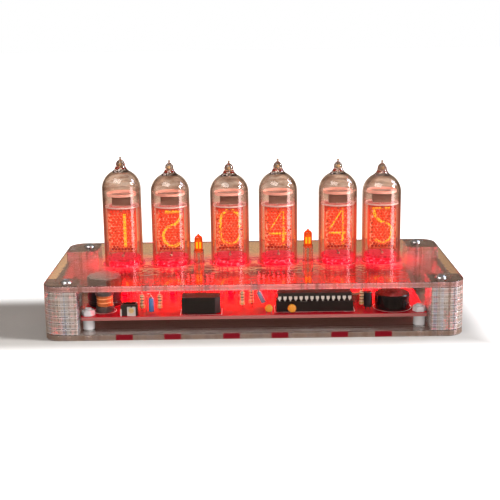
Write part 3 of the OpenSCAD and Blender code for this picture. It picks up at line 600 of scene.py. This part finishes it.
class CLOCK_OT_case(bpy.types.Operator):
    """Clear sheets, their bolts and the painted red glow on the walls of the holes"""

    bl_idname = "tube_clock.case"
    bl_label = "Case"

    def execute(self, context):
        sheet = cast_sheet("cast_acrylic_sheet")
        lit = {
            "top_plate": cast_sheet("acrylic_lid_painted_red_glow", "lid"),
            "base_plate": cast_sheet("acrylic_base_painted_glow_and_shade", "base"),
        }
        for node in NODES:
            if node in ("base_plate", "top_plate", "corner_spacers") or "_frame_" in node:
                polish(node, lit.get(node, sheet), 0.25, 0.03)
        polish("case_bolts", solid("zinc_plated_steel", "#C9CBD0", 0.22, 1.0, vary=0.2), 0.12)
        self.hole_walls()
        return {"FINISHED"}

    def hole_walls(self):
        """A painted red glow on the lid's hole walls round each tube, for the underlight."""
        lit = veil("hole_wall_painted_red_glow", "#FF5064", 0.5)
        hole_r = 10.25 * MM
        inset = 0.2 * MM
        wall = [(hole_r, LID_LOW[2] + inset), (hole_r, LID_HIGH[2] - inset)]
        for i in TUBES:
            centre = middle(f"tube_{i}_envelope")
            piece(f"hole_wall_{i}", lathe(wall, (centre.x, centre.y, 0)), lit)


# ---- Board ----


class CLOCK_OT_board(bpy.types.Operator):
    """Circuit board, its print and its nylon screws"""

    bl_idname = "tube_clock.board"
    bl_label = "Board"

    def execute(self, context):
        finish(NODES["circuit_board"], self.lacquer(), smooth=False)
        nylon = solid("natural_nylon", "#EEF2F8", 0.15, speckle_mm=1.5, vary=0.05)
        scatter = 2 * MM
        feed(
            nylon.node_tree.nodes["Principled BSDF"], Transmission_Weight=0.35, Subsurface_Weight=0.3,
            Subsurface_Radius=(scatter, scatter, scatter))
        for node in ("board_standoffs", "board_screws", "board_nuts"):
            finish(NODES[node], nylon, smooth=False)
        self.print_marks()
        return {"FINISHED"}

    def lacquer(self):
        """Red solder resist over glass-fibre board: glossy, with darker tracks."""
        made, tree, shader = blank("red_solder_resist", Roughness=0.22, IOR=1.5)
        tracks = add(
            tree, "ShaderNodeTexBrick", {"offset": 0.35}, Vector=place_of(tree), Scale=1 / (9 * MM),
            Color1=tone(look().board_colour), Color2=tone("#A0081E"), Mortar=tone("#8C0A1C"),
            Mortar_Size=0.012)
        top = span_of(tree, axes_of(tree)[2], DECK - 0.06 * MM, DECK - 0.03 * MM)
        feed(shader, Base_Color=blend_of(tree, top, tone("#9A5A58"), tracks.outputs[0]))
        bump(tree, shader, grain(tree, 1.2), 0.008)
        return made

    def print_marks(self):
        """White rings and frames printed round four of the parts."""
        ink = solid("white_print_ink", "#F2EDE8", 0.6, speckle_mm=0.3, vary=0.1)
        lift = DECK + 0.02 * MM
        line_w = 0.25 * MM
        for k, (node, radius) in enumerate((("choke_core", 5.2 * MM), ("buzzer", 8.9 * MM))):
            centre = middle(node)
            made = lathe([(radius, 0), (radius + line_w, 0)], (centre.x, centre.y, lift))
            bmesh.ops.recalc_face_normals(made, faces=made.faces)
            piece(f"print_ring_{k + 1}", made, ink)
        for k, node in enumerate(("chip_socket", "converter_module")):
            low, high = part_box(node)
            made = bmesh.new()
            rings = []
            for gap in (0.8 * MM, 0.55 * MM):
                left, right = low[0] - gap, high[0] + gap
                front, back = low[1] - gap, high[1] + gap
                corners = ((left, front), (right, front), (right, back), (left, back))
                rings.append([made.verts.new((x, y, lift)) for x, y in corners])
            outer, inner = rings
            for k_from, k_to in ((0, 1), (1, 2), (2, 3), (3, 0)):
                made.faces.new((outer[k_from], outer[k_to], inner[k_to], inner[k_from]))
            piece(f"print_frame_{k + 1}", made, ink, smooth=False)


# ---- Tubes ----


class CLOCK_OT_tubes(bpy.types.Operator):
    """Glass envelopes, mesh anodes, stacked numerals and their glow"""

    bl_idname = "tube_clock.tubes"
    bl_label = "Numeral tubes"

    def execute(self, context):
        glass = blown_glass()
        foot_glass = self.foot_glass()
        looks = {
            "mesh": self.anode_steel(),
            # Painted glow: the unlit numerals shine red-orange for the light of the lit one.
            "unlit": glow("unlit_numeral_painted_glow", "#FF4A2E", 1.2, "#24100A", 2.0, 0.4, 0.4, 0.1),
            "neon": self.neon_line(),
            "halo": veil("neon_haze", "#FF6A18", 0.35, 0.0),
            "bead": solid("glazed_bead", "#E8B09A", 0.2),
            # Painted red glow on the plate below the cage.
            "floor": glow("mica_floor_painted_red_glow", "#C01C18", 0.5, "#5A1810", 1.5, 0.4),
        }
        for i in TUBES:
            self.envelope(i, glass)
            finish(NODES[f"tube_{i}_anode"], looks["mesh"], smooth=False)
            self.numerals(i, looks)
            self.rods(i, looks["bead"])
            self.cage_floor(i, looks["floor"])
            self.foot(i, foot_glass)
        finish(NODES["tube_supports"], self.ceramic(), smooth=False)
        finish(NODES["tube_leads"], solid("tinned_lead_wire", "#D9CFC8", 0.25, 1.0), smooth=False)
        return {"FINISHED"}

    def envelope(self, i, glass):
        """Blown envelope: round foot, straight wall, dome and a drawn-off tip."""
        node = f"tube_{i}_envelope"
        low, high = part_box(node)
        radius = (high[0] - low[0]) / 2
        wall = 0.9 * MM
        foot_r = 2 * MM
        foot_in = 1.2 * MM
        floor_t = 1.5 * MM
        rise = 15.7 * MM
        dome = high[2] - low[2] - rise
        neck = (2.1 + 0.12 * math.sin(i * 2.3)) * MM
        flare = 4.5 * MM
        lift = math.sqrt((radius + flare) ** 2 - (neck + flare) ** 2)
        meet = math.degrees(math.atan2(lift, neck + flare))
        outer = [(0, 0)]
        outer += arc(radius - foot_r, foot_r, foot_r, -90, 0, 8)
        outer += [(radius, dome * 0.5)]
        outer += arc(0, dome, radius, 0, meet - 1, 20)
        outer += arc(neck + flare, dome + lift, flare, 179 + meet, 180, 10)
        tip = dome + rise
        end_r = 0.55 * MM
        drawn = ((1.98, 2.95), (1.72, 2.4), (1.2, 1.85), (0.7, 1.45), (0.42, 1.18), (0.37, 0.96))
        outer += [(r * MM, tip - down * MM) for r, down in drawn]
        outer += arc(0, tip - end_r, end_r, -35, 90, 8)
        outer[-1] = (0, tip)
        bore = radius - wall
        inner = [(0, floor_t), (bore - foot_in, floor_t)]
        inner += arc(bore - foot_in, floor_t + foot_in, foot_in, -80, 0, 5)
        inner += [(bore, dome * 0.5)]
        inner += arc(0, dome, bore, 0, 84, 20)
        inner += [(0.35 * MM, dome + bore + 1.0 * MM), (0, dome + bore + 2.4 * MM)]
        centre = (middle(node).x, middle(node).y, low[2])
        made = lathe(outer, centre, 96)
        lathe(inner, centre, 96, inward=True, target=made)
        envelope = piece(f"glass_envelope_{i}", made, glass)
        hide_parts(node)

    def foot(self, i, material):
        """Pressed glass foot that the leads pass through, with a painted red glow for the lamp below."""
        centre = middle(f"tube_{i}_envelope")
        profile = ((0, -1.35), (6.9, -1.35), (7.6, -0.9), (7.6, 0.2), (6.6, 1.3), (5.2, 2.05), (0, 2.1))
        made = lathe([(r * MM, z * MM) for r, z in profile], (centre.x, centre.y, LID_Z))
        piece(f"glass_foot_{i}", made, material)

    def numerals(self, i, looks):
        """Ten numerals one behind the other, the one that is on in its glow."""
        centre = middle(f"tube_{i}_envelope")
        step = 0.9 * MM
        foot_z = 8.2
        aside = {1: 1.4, 2: 0.8, 5: 0.7}
        narrow = {2: 0.88, 5: 0.88}
        unlit = []
        for k, value in enumerate(STACK):
            x_mid = centre.x + aside.get(value, 0.2) * MM
            y = centre.y + (k - 4.5) * step
            share = narrow.get(value, 0.93)
            lines = [
                [(x_mid + share * x * MM, y, LID_Z + (z + foot_z) * MM) for x, z in line]
                for line in numeral(value)]
            if value == SHOWN[i - 1]:
                lit = self.strokes(f"lit_numeral_{i}", lines, 1.35 * MM, looks["neon"])
                self.strokes(f"numeral_glow_{i}", lines, 2.6 * MM, looks["halo"])
            else:
                unlit += lines
        dark = self.strokes(f"numeral_stack_{i}", unlit, 0.42 * MM, looks["unlit"])
        for made in (lit, dark):
            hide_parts(f"tube_{i}_cathodes")

    def rods(self, i, material):
        """The rods that hold the stack, below and above it, with a bead in front."""
        centre = middle(f"tube_{i}_envelope")
        rod_r = 0.3 * MM
        made = bmesh.new()
        for z in (4.6, 27.5):
            bead = Matrix.Translation((centre.x, centre.y - 4.6 * MM, LID_Z + z * MM))
            bmesh.ops.create_uvsphere(made, u_segments=24, v_segments=12, radius=0.75 * MM, matrix=bead)
            spot = Matrix.Translation((centre.x, centre.y + 0.3 * MM, LID_Z + z * MM))
            bmesh.ops.create_cone(
                made, cap_ends=True, segments=16, radius1=rod_r, radius2=rod_r, depth=10 * MM,
                matrix=spot @ Matrix.Rotation(math.pi / 2, 4, "X"))
        piece(f"numeral_rods_{i}", made, material)

    def cage_floor(self, i, material):
        """The plate that closes the mesh cage below, with a painted red glow."""
        centre = middle(f"tube_{i}_envelope")
        half_x, half_y = 6.1 * MM, 5.1 * MM
        made = bmesh.new()
        block(made, (centre.x - half_x, centre.y - half_y, LID_Z + 6.6 * MM),
              (centre.x + half_x, centre.y + half_y, LID_Z + 6.9 * MM))
        piece(f"cage_floor_{i}", made, material, smooth=False)

    def strokes(self, name, lines, diameter, material):
        """Round strokes along several lines, as one piece."""
        data = bpy.data.curves.new(name, "CURVE")
        data.dimensions = "3D"
        data.bevel_depth = diameter / 2
        data.bevel_resolution = 3
        data.use_fill_caps = True
        for line in lines:
            spline = data.splines.new("POLY")
            spline.points.add(len(line) - 1)
            for point, spot in zip(spline.points, line):
                point.co = (*spot, 1)
        data.materials.append(material)
        obj = bpy.data.objects.new(name, data)
        bpy.context.scene.collection.objects.link(obj)
        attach(obj, CLOCK)
        return obj

    def anode_steel(self):
        """Etched nickel steel with a painted red-orange glow for the numeral's light, in specks with pale
        painted highlights, dimmer at its ends.
        """
        made, tree, shader = blank(
            "etched_steel_painted_glow", Base_Color=tone("#24120C"), Metallic=0.2, Roughness=0.45,
            Emission_Strength=1.15)
        axes = axes_of(tree)
        # The painted glow fades to a dull red at the ends of the mesh.
        up = span_of(tree, axes[2], LID_Z + 5.5 * MM, LID_Z + 10 * MM, smooth=True)
        down = span_of(tree, axes[2], LID_Z + 29 * MM, LID_Z + 24 * MM, smooth=True)
        shine = math_of(tree, "MULTIPLY", up, down)
        cage_front = 5.1 * MM
        front = span_of(tree, axes[1], -cage_front, -cage_front - 0.2 * MM)
        # Painted glow in specks, with pale painted highlights.
        painted_glow_specks = ramp_of(tree, grain(tree, 1.1, 3.0), (
            (0.34, "#98200F"), (0.45, "#F05230"), (0.54, "#FF7850"), (0.66, "#FFAC90")))
        lit = blend_of(tree, front, tone(look().neon_mesh), painted_glow_specks)
        feed(shader, Emission_Color=blend_of(tree, shine, tone("#B03024"), lit))
        bump(tree, shader, grain(tree, 0.6), 0.01)
        return made

    def neon_line(self):
        """Neon glow on a cathode: yellow in the middle, orange at its edge."""
        made, tree, shader = blank("neon_cathode_glow", Base_Color=tone("#402008"), Emission_Strength=1.7)
        facing = add(tree, "ShaderNodeLayerWeight", Blend=0.35).outputs["Facing"]
        feed(shader, Emission_Color=blend_of(tree, facing, tone(look().neon_line), tone("#FF9A14")))
        return made

    def foot_glass(self):
        """Pressed glass with a painted red glow and pale painted specks, for the lamp below it."""
        made, tree, shader = blank(
            "foot_glass_painted_red_glow", Base_Color=tone("#C80820"), Roughness=0.25, Transmission_Weight=0.3,
            Emission_Strength=0.85)
        patches = ramp_of(tree, grain(tree, 1.4, 4.0), (
            (0.36, "#C00824"), (0.48, look().led_glow), (0.56, "#FF2848"), (0.66, "#FF8094")))
        feed(shader, Emission_Color=patches)
        return made

    def ceramic(self):
        """White ceramic and mica, with painted light: below the mica the ceramic is
            painted dark red, with a painted red glow near the foot, and the mica and the
            getter carry a pink painted glow; the carrier is tan-grey and the getter pale
            pink. The foot disc, the mica, its carrier and the getter start at four heights,
            and the level faces of the mica and the getter are sheer."""
        made, tree, shader = blank("ceramic_and_mica_painted_glow", Roughness=0.4, Emission_Strength=0.75)
        height = axes_of(tree)[2]
        painted_glow_near_foot = span_of(tree, height, LID_Z + 5 * MM, LID_Z + 9 * MM, 1.0, 0.0)
        layer = span_of(tree, height, LID_Z, LID_Z + 40 * MM)
        patches = ramp_of(tree, grain(tree, 1.4, 4.0), (
            (0.36, "#C80A26"), (0.5, look().led_glow), (0.64, "#FF5068")))
        starts = (0, 0.70, 0.7335, 0.853)
        # rim is the painted glow away from the foot: none on the lower ceramic and the carrier, pink on the
        # mica and the getter.
        rim, body, sheer = (
            ramp_of(tree, layer, tuple(zip(starts, tones)), hard=True) for tones in (
                ("#000000", "#C09890", "#100806", "#E89C8C"),
                ("#8A2420", "#FFF0E8", "#B09484", "#F4C0B0"),
                ("#000000", "#E8E8E8", "#000000", "#E8E8E8")))
        flat = math_of(tree, "GREATER_THAN", facing_up(tree), 0.6)
        thin = math_of(tree, "MULTIPLY", flat, sheer)
        feed(
            shader, Base_Color=body, Emission_Color=blend_of(tree, painted_glow_near_foot, rim, patches),
            Alpha=math_of(tree, "SUBTRACT", 1.0, thin))
        bump(tree, shader, grain(tree, 1.0), 0.02)
        return made


def numeral(value):
    """Centre lines of a numeral as lists of (x, z) in millimetres, foot near z 0."""
    r, foot, head = 5.15, 0.35, 17.65
    tall = 18.0
    if value == 0:
        side = arc(0, head - r, r, 0, 180, 24) + arc(0, foot + r, r, 180, 360, 24)
        return [side + side[:1]]
    if value == 1:
        return [[(0, foot + 0.7), (0, head - 0.5)]]
    if value == 2:
        return [[(-x, z) for x, z in line] for line in numeral(5)]
    if value == 3:
        bowl = (head - foot) / 4
        return [arc(0, head - bowl, bowl, 150, -90, 24) + arc(0, foot + bowl, bowl, 90, -150, 24)]
    if value == 4:
        bar = foot + 0.28 * tall
        stem = 0.52 * r
        return [[(stem, foot - 0.8), (stem, head), (-1.1 * r, bar), (0.82 * r, bar)]]
    if value == 5:
        hook = head - foot - 2 * r
        bar = [(0.75 * r, head), (-r, head)]
        return [bar + arc(hook - r, head, hook, 182, 265, 12) + arc(0, foot + r, r, 80, -140, 24)]
    if value == 6:
        return [arc(0, foot + r, r, 0, 360, 32), arc(head - foot - r, foot + r, head - foot, 180, 127, 16)]
    if value == 7:
        return [[(-r, head), (r, head), (0, foot)]]
    if value == 8:
        bowl = (head - foot) / 4
        return [arc(0, head - bowl, bowl, 0, 360, 24), arc(0, foot + bowl, bowl, 0, 360, 24)]
    return [[(-x, tall - z) for x, z in line] for line in numeral(6)]


# ---- Lamps ----


class CLOCK_OT_lamps(bpy.types.Operator):
    """Red lamps under the tubes and neon lamps between the pairs"""

    bl_idname = "tube_clock.lamps"
    bl_label = "Lamps"

    def execute(self, context):
        lens = glow("red_lamp_lens", "#FF0A24", 1.6, "#FF1020", 1.5, 0.3, 0.2)
        finish(NODES["underlight_leds"], lens, smooth=False)
        over_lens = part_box("underlight_leds")[1][2] + 1.6 * MM
        for i in TUBES:
            centre = middle(f"tube_{i}_envelope")
            data = bpy.data.lights.new(f"underlight_{i}", "POINT")
            data.energy = look().led_power
            data.color = tone(look().led_glow)[:3]
            data.shadow_soft_size = 1.2 * MM
            lamp = bpy.data.objects.new(f"underlight_{i}", data)
            lamp.location = (centre.x, centre.y, over_lens)
            lamp.visible_camera = False
            lamp.visible_glossy = False
            lamp.visible_transmission = False
            bpy.context.scene.collection.objects.link(lamp)
        finish(NODES["colon_lamps"], self.lamp_glass(), smooth=True)
        finish(NODES["colon_sleeves"], self.sleeve(), smooth=False)
        self.electrodes()
        return {"FINISHED"}

    def electrodes(self):
        """Two glowing rods inside each neon lamp."""
        low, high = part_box("colon_lamps")
        lamp_r = 2.05 * MM
        shine = glow("neon_electrode_glow", "#FFC030", 2.2, "#803010")
        for k, (x, drop) in enumerate(((low[0] + lamp_r, 1.8), (high[0] - lamp_r, 0))):
            made = bmesh.new()
            for side in (-0.55, 0.55):
                foot = (x + side * MM, middle("colon_lamps").y, LID_Z + (8.6 - drop) * MM)
                rod(made, foot, 0.36 * MM, 3.2 * MM)
            piece(f"lamp_electrodes_{k + 1}", made, shine)

    def lamp_glass(self):
        """Thin lamp glass with a painted orange tint and glow for the light inside it."""
        made, tree, shader = blank(
            "lamp_glass_painted_glow", Base_Color=tone("#E87038"), Roughness=0.04, IOR=1.5, Transmission_Weight=1.0,
            Emission_Color=tone("#F04A08"), Emission_Strength=0.3)
        bump(tree, shader, grain(tree, 3.0), 0.02)
        return made

    def sleeve(self):
        """Clear plastic sleeve, a little milky."""
        made, tree, shader = blank(
            "clear_plastic_sleeve", Base_Color=tone("#F2E4DC"), Roughness=0.05, IOR=1.45,
            Transmission_Weight=0.97)
        bump(tree, shader, grain(tree, 2.0), 0.03)
        return made


# ---- Parts on the board ----


class CLOCK_OT_parts(bpy.types.Operator):
    """Chips, choke, capacitors, resistors and diodes on the board"""

    bl_idname = "tube_clock.parts"
    bl_label = "Board parts"

    def execute(self, context):
        tinned = solid("tinned_copper_wire", "#E2DCD6", 0.22, 1.0, vary=0.2)
        for node in ("resistors", "diodes", "ceramic_capacitors"):
            finish(NODES[node], tinned, smooth=False)
        self.chips()
        self.choke()
        self.cans()
        self.coats()
        return {"FINISHED"}

    def legged(self, name, node, hex_code):
        """Moulded plastic; what stands out at its sides is tinned leg."""
        made, tree, shader = blank(name, Roughness=0.4)
        aside = math_of(tree, "ABSOLUTE", math_of(tree, "SUBTRACT", axes_of(tree)[1], middle(node).y))
        leg = span_of(tree, aside, 3.31 * MM, 3.36 * MM)
        feed(
            shader, Base_Color=blend_of(tree, leg, tone(hex_code), tone("#F4EEE8")),
            Metallic=math_of(tree, "MULTIPLY", leg, 0.5))
        bump(tree, shader, grain(tree, 0.5), 0.015)
        finish(NODES[node], made, smooth=False)

    def chips(self):
        """Moulded packages, the socket, the crystal and the converter."""
        self.legged("black_epoxy_package", "controller_chip", "#26211F")
        self.legged("black_driver_package", "driver_chips", "#241F1E")
        finishes = {
            "chip_socket": solid("black_socket_plastic", "#1C1716", 0.45),
            "quartz_crystal": solid("pressed_nickel_can", "#C9C2BC", 0.25, 1.0),
            "converter_module": solid("potted_black_module", "#1E1A19", 0.35, vary=0.3),
            "buzzer": solid("glossy_black_buzzer", "#141112", 0.12, vary=0.2),
        }
        for node, material in finishes.items():
            finish(NODES[node], material, smooth=False)

    def choke(self):
        """Ferrite bobbin with enamelled copper wound round it."""
        finish(NODES["choke_core"], self.bobbin(), smooth=False)
        made, tree, shader = blank("enamelled_copper_wire", Metallic=0.1, Roughness=0.3)
        band = 0.3 * MM
        turns = add(
            tree, "ShaderNodeTexWave", {"wave_type": "BANDS", "bands_direction": "Z"}, Vector=place_of(tree),
            Scale=1 / (20 * band), Distortion=0.0).outputs["Fac"]
        feed(shader, Base_Color=blend_of(tree, turns, tone("#B85A28"), tone("#FFB478")))
        bump(tree, shader, turns, 0.1)
        finish(NODES["choke_winding"], made, smooth=False)

    def bobbin(self):
        """Grey ferrite flanges, with the winding's inner layers between them."""
        made = solid("sintered_ferrite", "#4E4644", 0.5, vary=0.25, depth_mm=0.02)
        tree = made.node_tree
        shader = tree.nodes["Principled BSDF"]
        height = axes_of(tree)[2]
        low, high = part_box("choke_winding")
        inset = 0.1 * MM
        over = math_of(tree, "GREATER_THAN", height, low[2] + inset)
        under = math_of(tree, "LESS_THAN", height, high[2] - inset)
        between = math_of(tree, "MULTIPLY", over, under)
        ferrite = shader.inputs["Base Color"].links[0].from_socket
        feed(shader, Base_Color=blend_of(tree, between, ferrite, tone("#C86A34")))
        return made

    def cans(self):
        """Capacitor cans: black sleeves with bare tops."""
        made, tree, shader = blank("shrink_sleeved_can", Roughness=0.3)
        can_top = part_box("electrolytic_capacitors")[1][2]
        bare = span_of(tree, axes_of(tree)[2], can_top - 0.35 * MM, can_top - 0.3 * MM)
        feed(shader, Base_Color=blend_of(tree, bare, tone("#1D1B20"), tone("#B9B4B0")))
        bump(tree, shader, grain(tree, 1.5), 0.02)
        finish(NODES["electrolytic_capacitors"], made, smooth=False)

    def coats(self):
        """Painted bodies over the resistors, diodes and disc capacitors."""
        beige = self.banded()
        profile = [(0, 10.55), (0.9, 10.6), (1.27, 10.9), (1.28, 12.0), (1.08, 12.5)]
        profile += [(1.08, 15.4), (1.28, 15.9), (1.27, 17.0), (0.9, 17.3), (0, 17.35)]
        places = ((28, 10.4), (36.4, 10), (75.5, 14), (79.9, 17), (132.5, 12))
        for k, place in enumerate(places):
            piece(f"resistor_coat_{k + 1}", self.turned(profile, (*on_board(*place), 0)), beige)
        blue = solid("blue_glass_diode", "#4A78B0", 0.12, vary=0.3)
        upright = Matrix.Translation((*on_board(32.7, 6.1), 13.7 * MM))
        piece("diode_coat_1", self.diode(3.6, 1.32, upright), blue)
        grey = solid("banded_grey_diode", "#7C8EA8", 0.15, vary=0.3)
        lean = Matrix.Rotation(math.radians(-25), 4, "Y")
        leaning = Matrix.Translation((*on_board(84.5, 12.9), 14.7 * MM)) @ lean
        piece("diode_coat_2", self.diode(3.2, 1.22, leaning), grey)
        self.discs()

    def turned(self, profile, centre=(0, 0, 0), place=None):
        """A small turned body, its profile in millimetres, put in its place."""
        made = lathe([(r * MM, z * MM) for r, z in profile], centre, 32)
        if place:
            bmesh.ops.transform(made, verts=made.verts, matrix=place)
        return made

    def diode(self, half, radius, place):
        """Glass body of a diode, with half its length and its radius in millimetres."""
        bevel = 0.32
        shoulder = 0.4
        dish = 0.02
        ends = [(0, -half - dish), (radius - bevel, -half), (radius, shoulder - half)]
        return self.turned(ends + [(r, -z) for r, z in reversed(ends)], place=place)

    def discs(self):
        """Amber dip over the disc capacitors."""
        amber = solid("amber_capacitor_dip", "#D8902C", 0.2, vary=0.15, depth_mm=0.03)
        half = 1.16
        for k, (x, y, wide) in enumerate(((88, 2.4, 3.6), (98.8, 2, 3.9))):
            flat = wide / 2 - 1.1
            outline = [(0, -half)] + [(flat + a, b) for a, b in arc(0, 0, half, -90, 90, 10)] + [(0, half)]
            stand = Matrix.Translation((*on_board(x, y), 12.1 * MM)) @ Matrix.Rotation(math.pi / 2, 4, "X")
            piece(f"capacitor_dip_{k + 1}", self.turned(outline, place=stand), amber)

    def banded(self):
        """Beige resistor paint with coloured bands."""
        made, tree, shader = blank("banded_resistor_paint", Roughness=0.35)
        height = span_of(tree, axes_of(tree)[2], 10.55 * MM, 17.35 * MM)
        paint = "#D8B48C"
        gold, brown, black = "#B08A30", "#7A2A20", "#2A1C1A"
        bands = ((0.14, 0.2, gold), (0.36, 0.43, brown), (0.56, 0.63, black), (0.8, 0.87, brown))
        stops = [(0, paint)]
        for start, end, hex_code in bands:
            stops += [(start, hex_code), (end, paint)]
        feed(shader, Base_Color=ramp_of(tree, height, stops, hard=True))
        return made


# ---- Controls ----


class CLOCK_OT_controls(bpy.types.Operator):
    """Trimmer, set buttons and power socket"""

    bl_idname = "tube_clock.controls"
    bl_label = "Controls"

    def execute(self, context):
        cap = solid("black_button_cap", "#191717", 0.3)
        finishes = {
            "trimmer_body": solid("moulded_trimmer_body", "#2C2624", 0.4),
            "trimmer_plate": solid("stamped_nickel_plate", "#CFCAC6", 0.3, 0.3),
            "trimmer_rotor": solid("turned_brass_rotor", "#E0C48C", 0.3, 0.4),
            "button_bodies": solid("black_switch_body", "#1C1A1A", 0.4),
            "set_button_1": cap,
            "set_button_2": cap,
            "power_jack": solid("black_jack_plastic", "#1A1818", 0.38),
        }
        for node, material in finishes.items():
            finish(NODES[node], material, smooth=False)
        return {"FINISHED"}


class CLOCK_PT_panel(bpy.types.Panel):
    """Settings and steps of the clock's looks"""

    bl_idname = "CLOCK_PT_panel"
    bl_label = "Tube Clock"
    bl_space_type = "VIEW_3D"
    bl_region_type = "UI"
    bl_category = "Tube Clock"

    def draw(self, context):
        settings = context.scene.tube_clock_look
        for name in settings.bl_rna.properties.keys():
            if name not in ("rna_type", "name"):
                self.layout.prop(settings, name)
        for step in STEPS:
            self.layout.operator(step.bl_idname)


STEPS = (
    CLOCK_OT_stage, CLOCK_OT_case, CLOCK_OT_board, CLOCK_OT_tubes,
    CLOCK_OT_lamps, CLOCK_OT_parts, CLOCK_OT_controls,
)


def register():
    for kind in (TubeClockLook, *STEPS, CLOCK_PT_panel):
        bpy.utils.register_class(kind)
    bpy.types.Scene.tube_clock_look = PointerProperty(type=TubeClockLook)


def unregister():
    del bpy.types.Scene.tube_clock_look
    for kind in reversed((TubeClockLook, *STEPS, CLOCK_PT_panel)):
        bpy.utils.unregister_class(kind)


def main():
    """Registers the add-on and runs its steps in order."""
    register()
    bpy.context.scene.view_settings.view_transform = "Standard"
    ops = bpy.ops.tube_clock
    for run in (ops.stage, ops.case, ops.board, ops.tubes, ops.lamps, ops.parts, ops.controls):
        if run() != {"FINISHED"}:
            raise RuntimeError("a step did not finish")


if __name__ == "__main__":
    main()
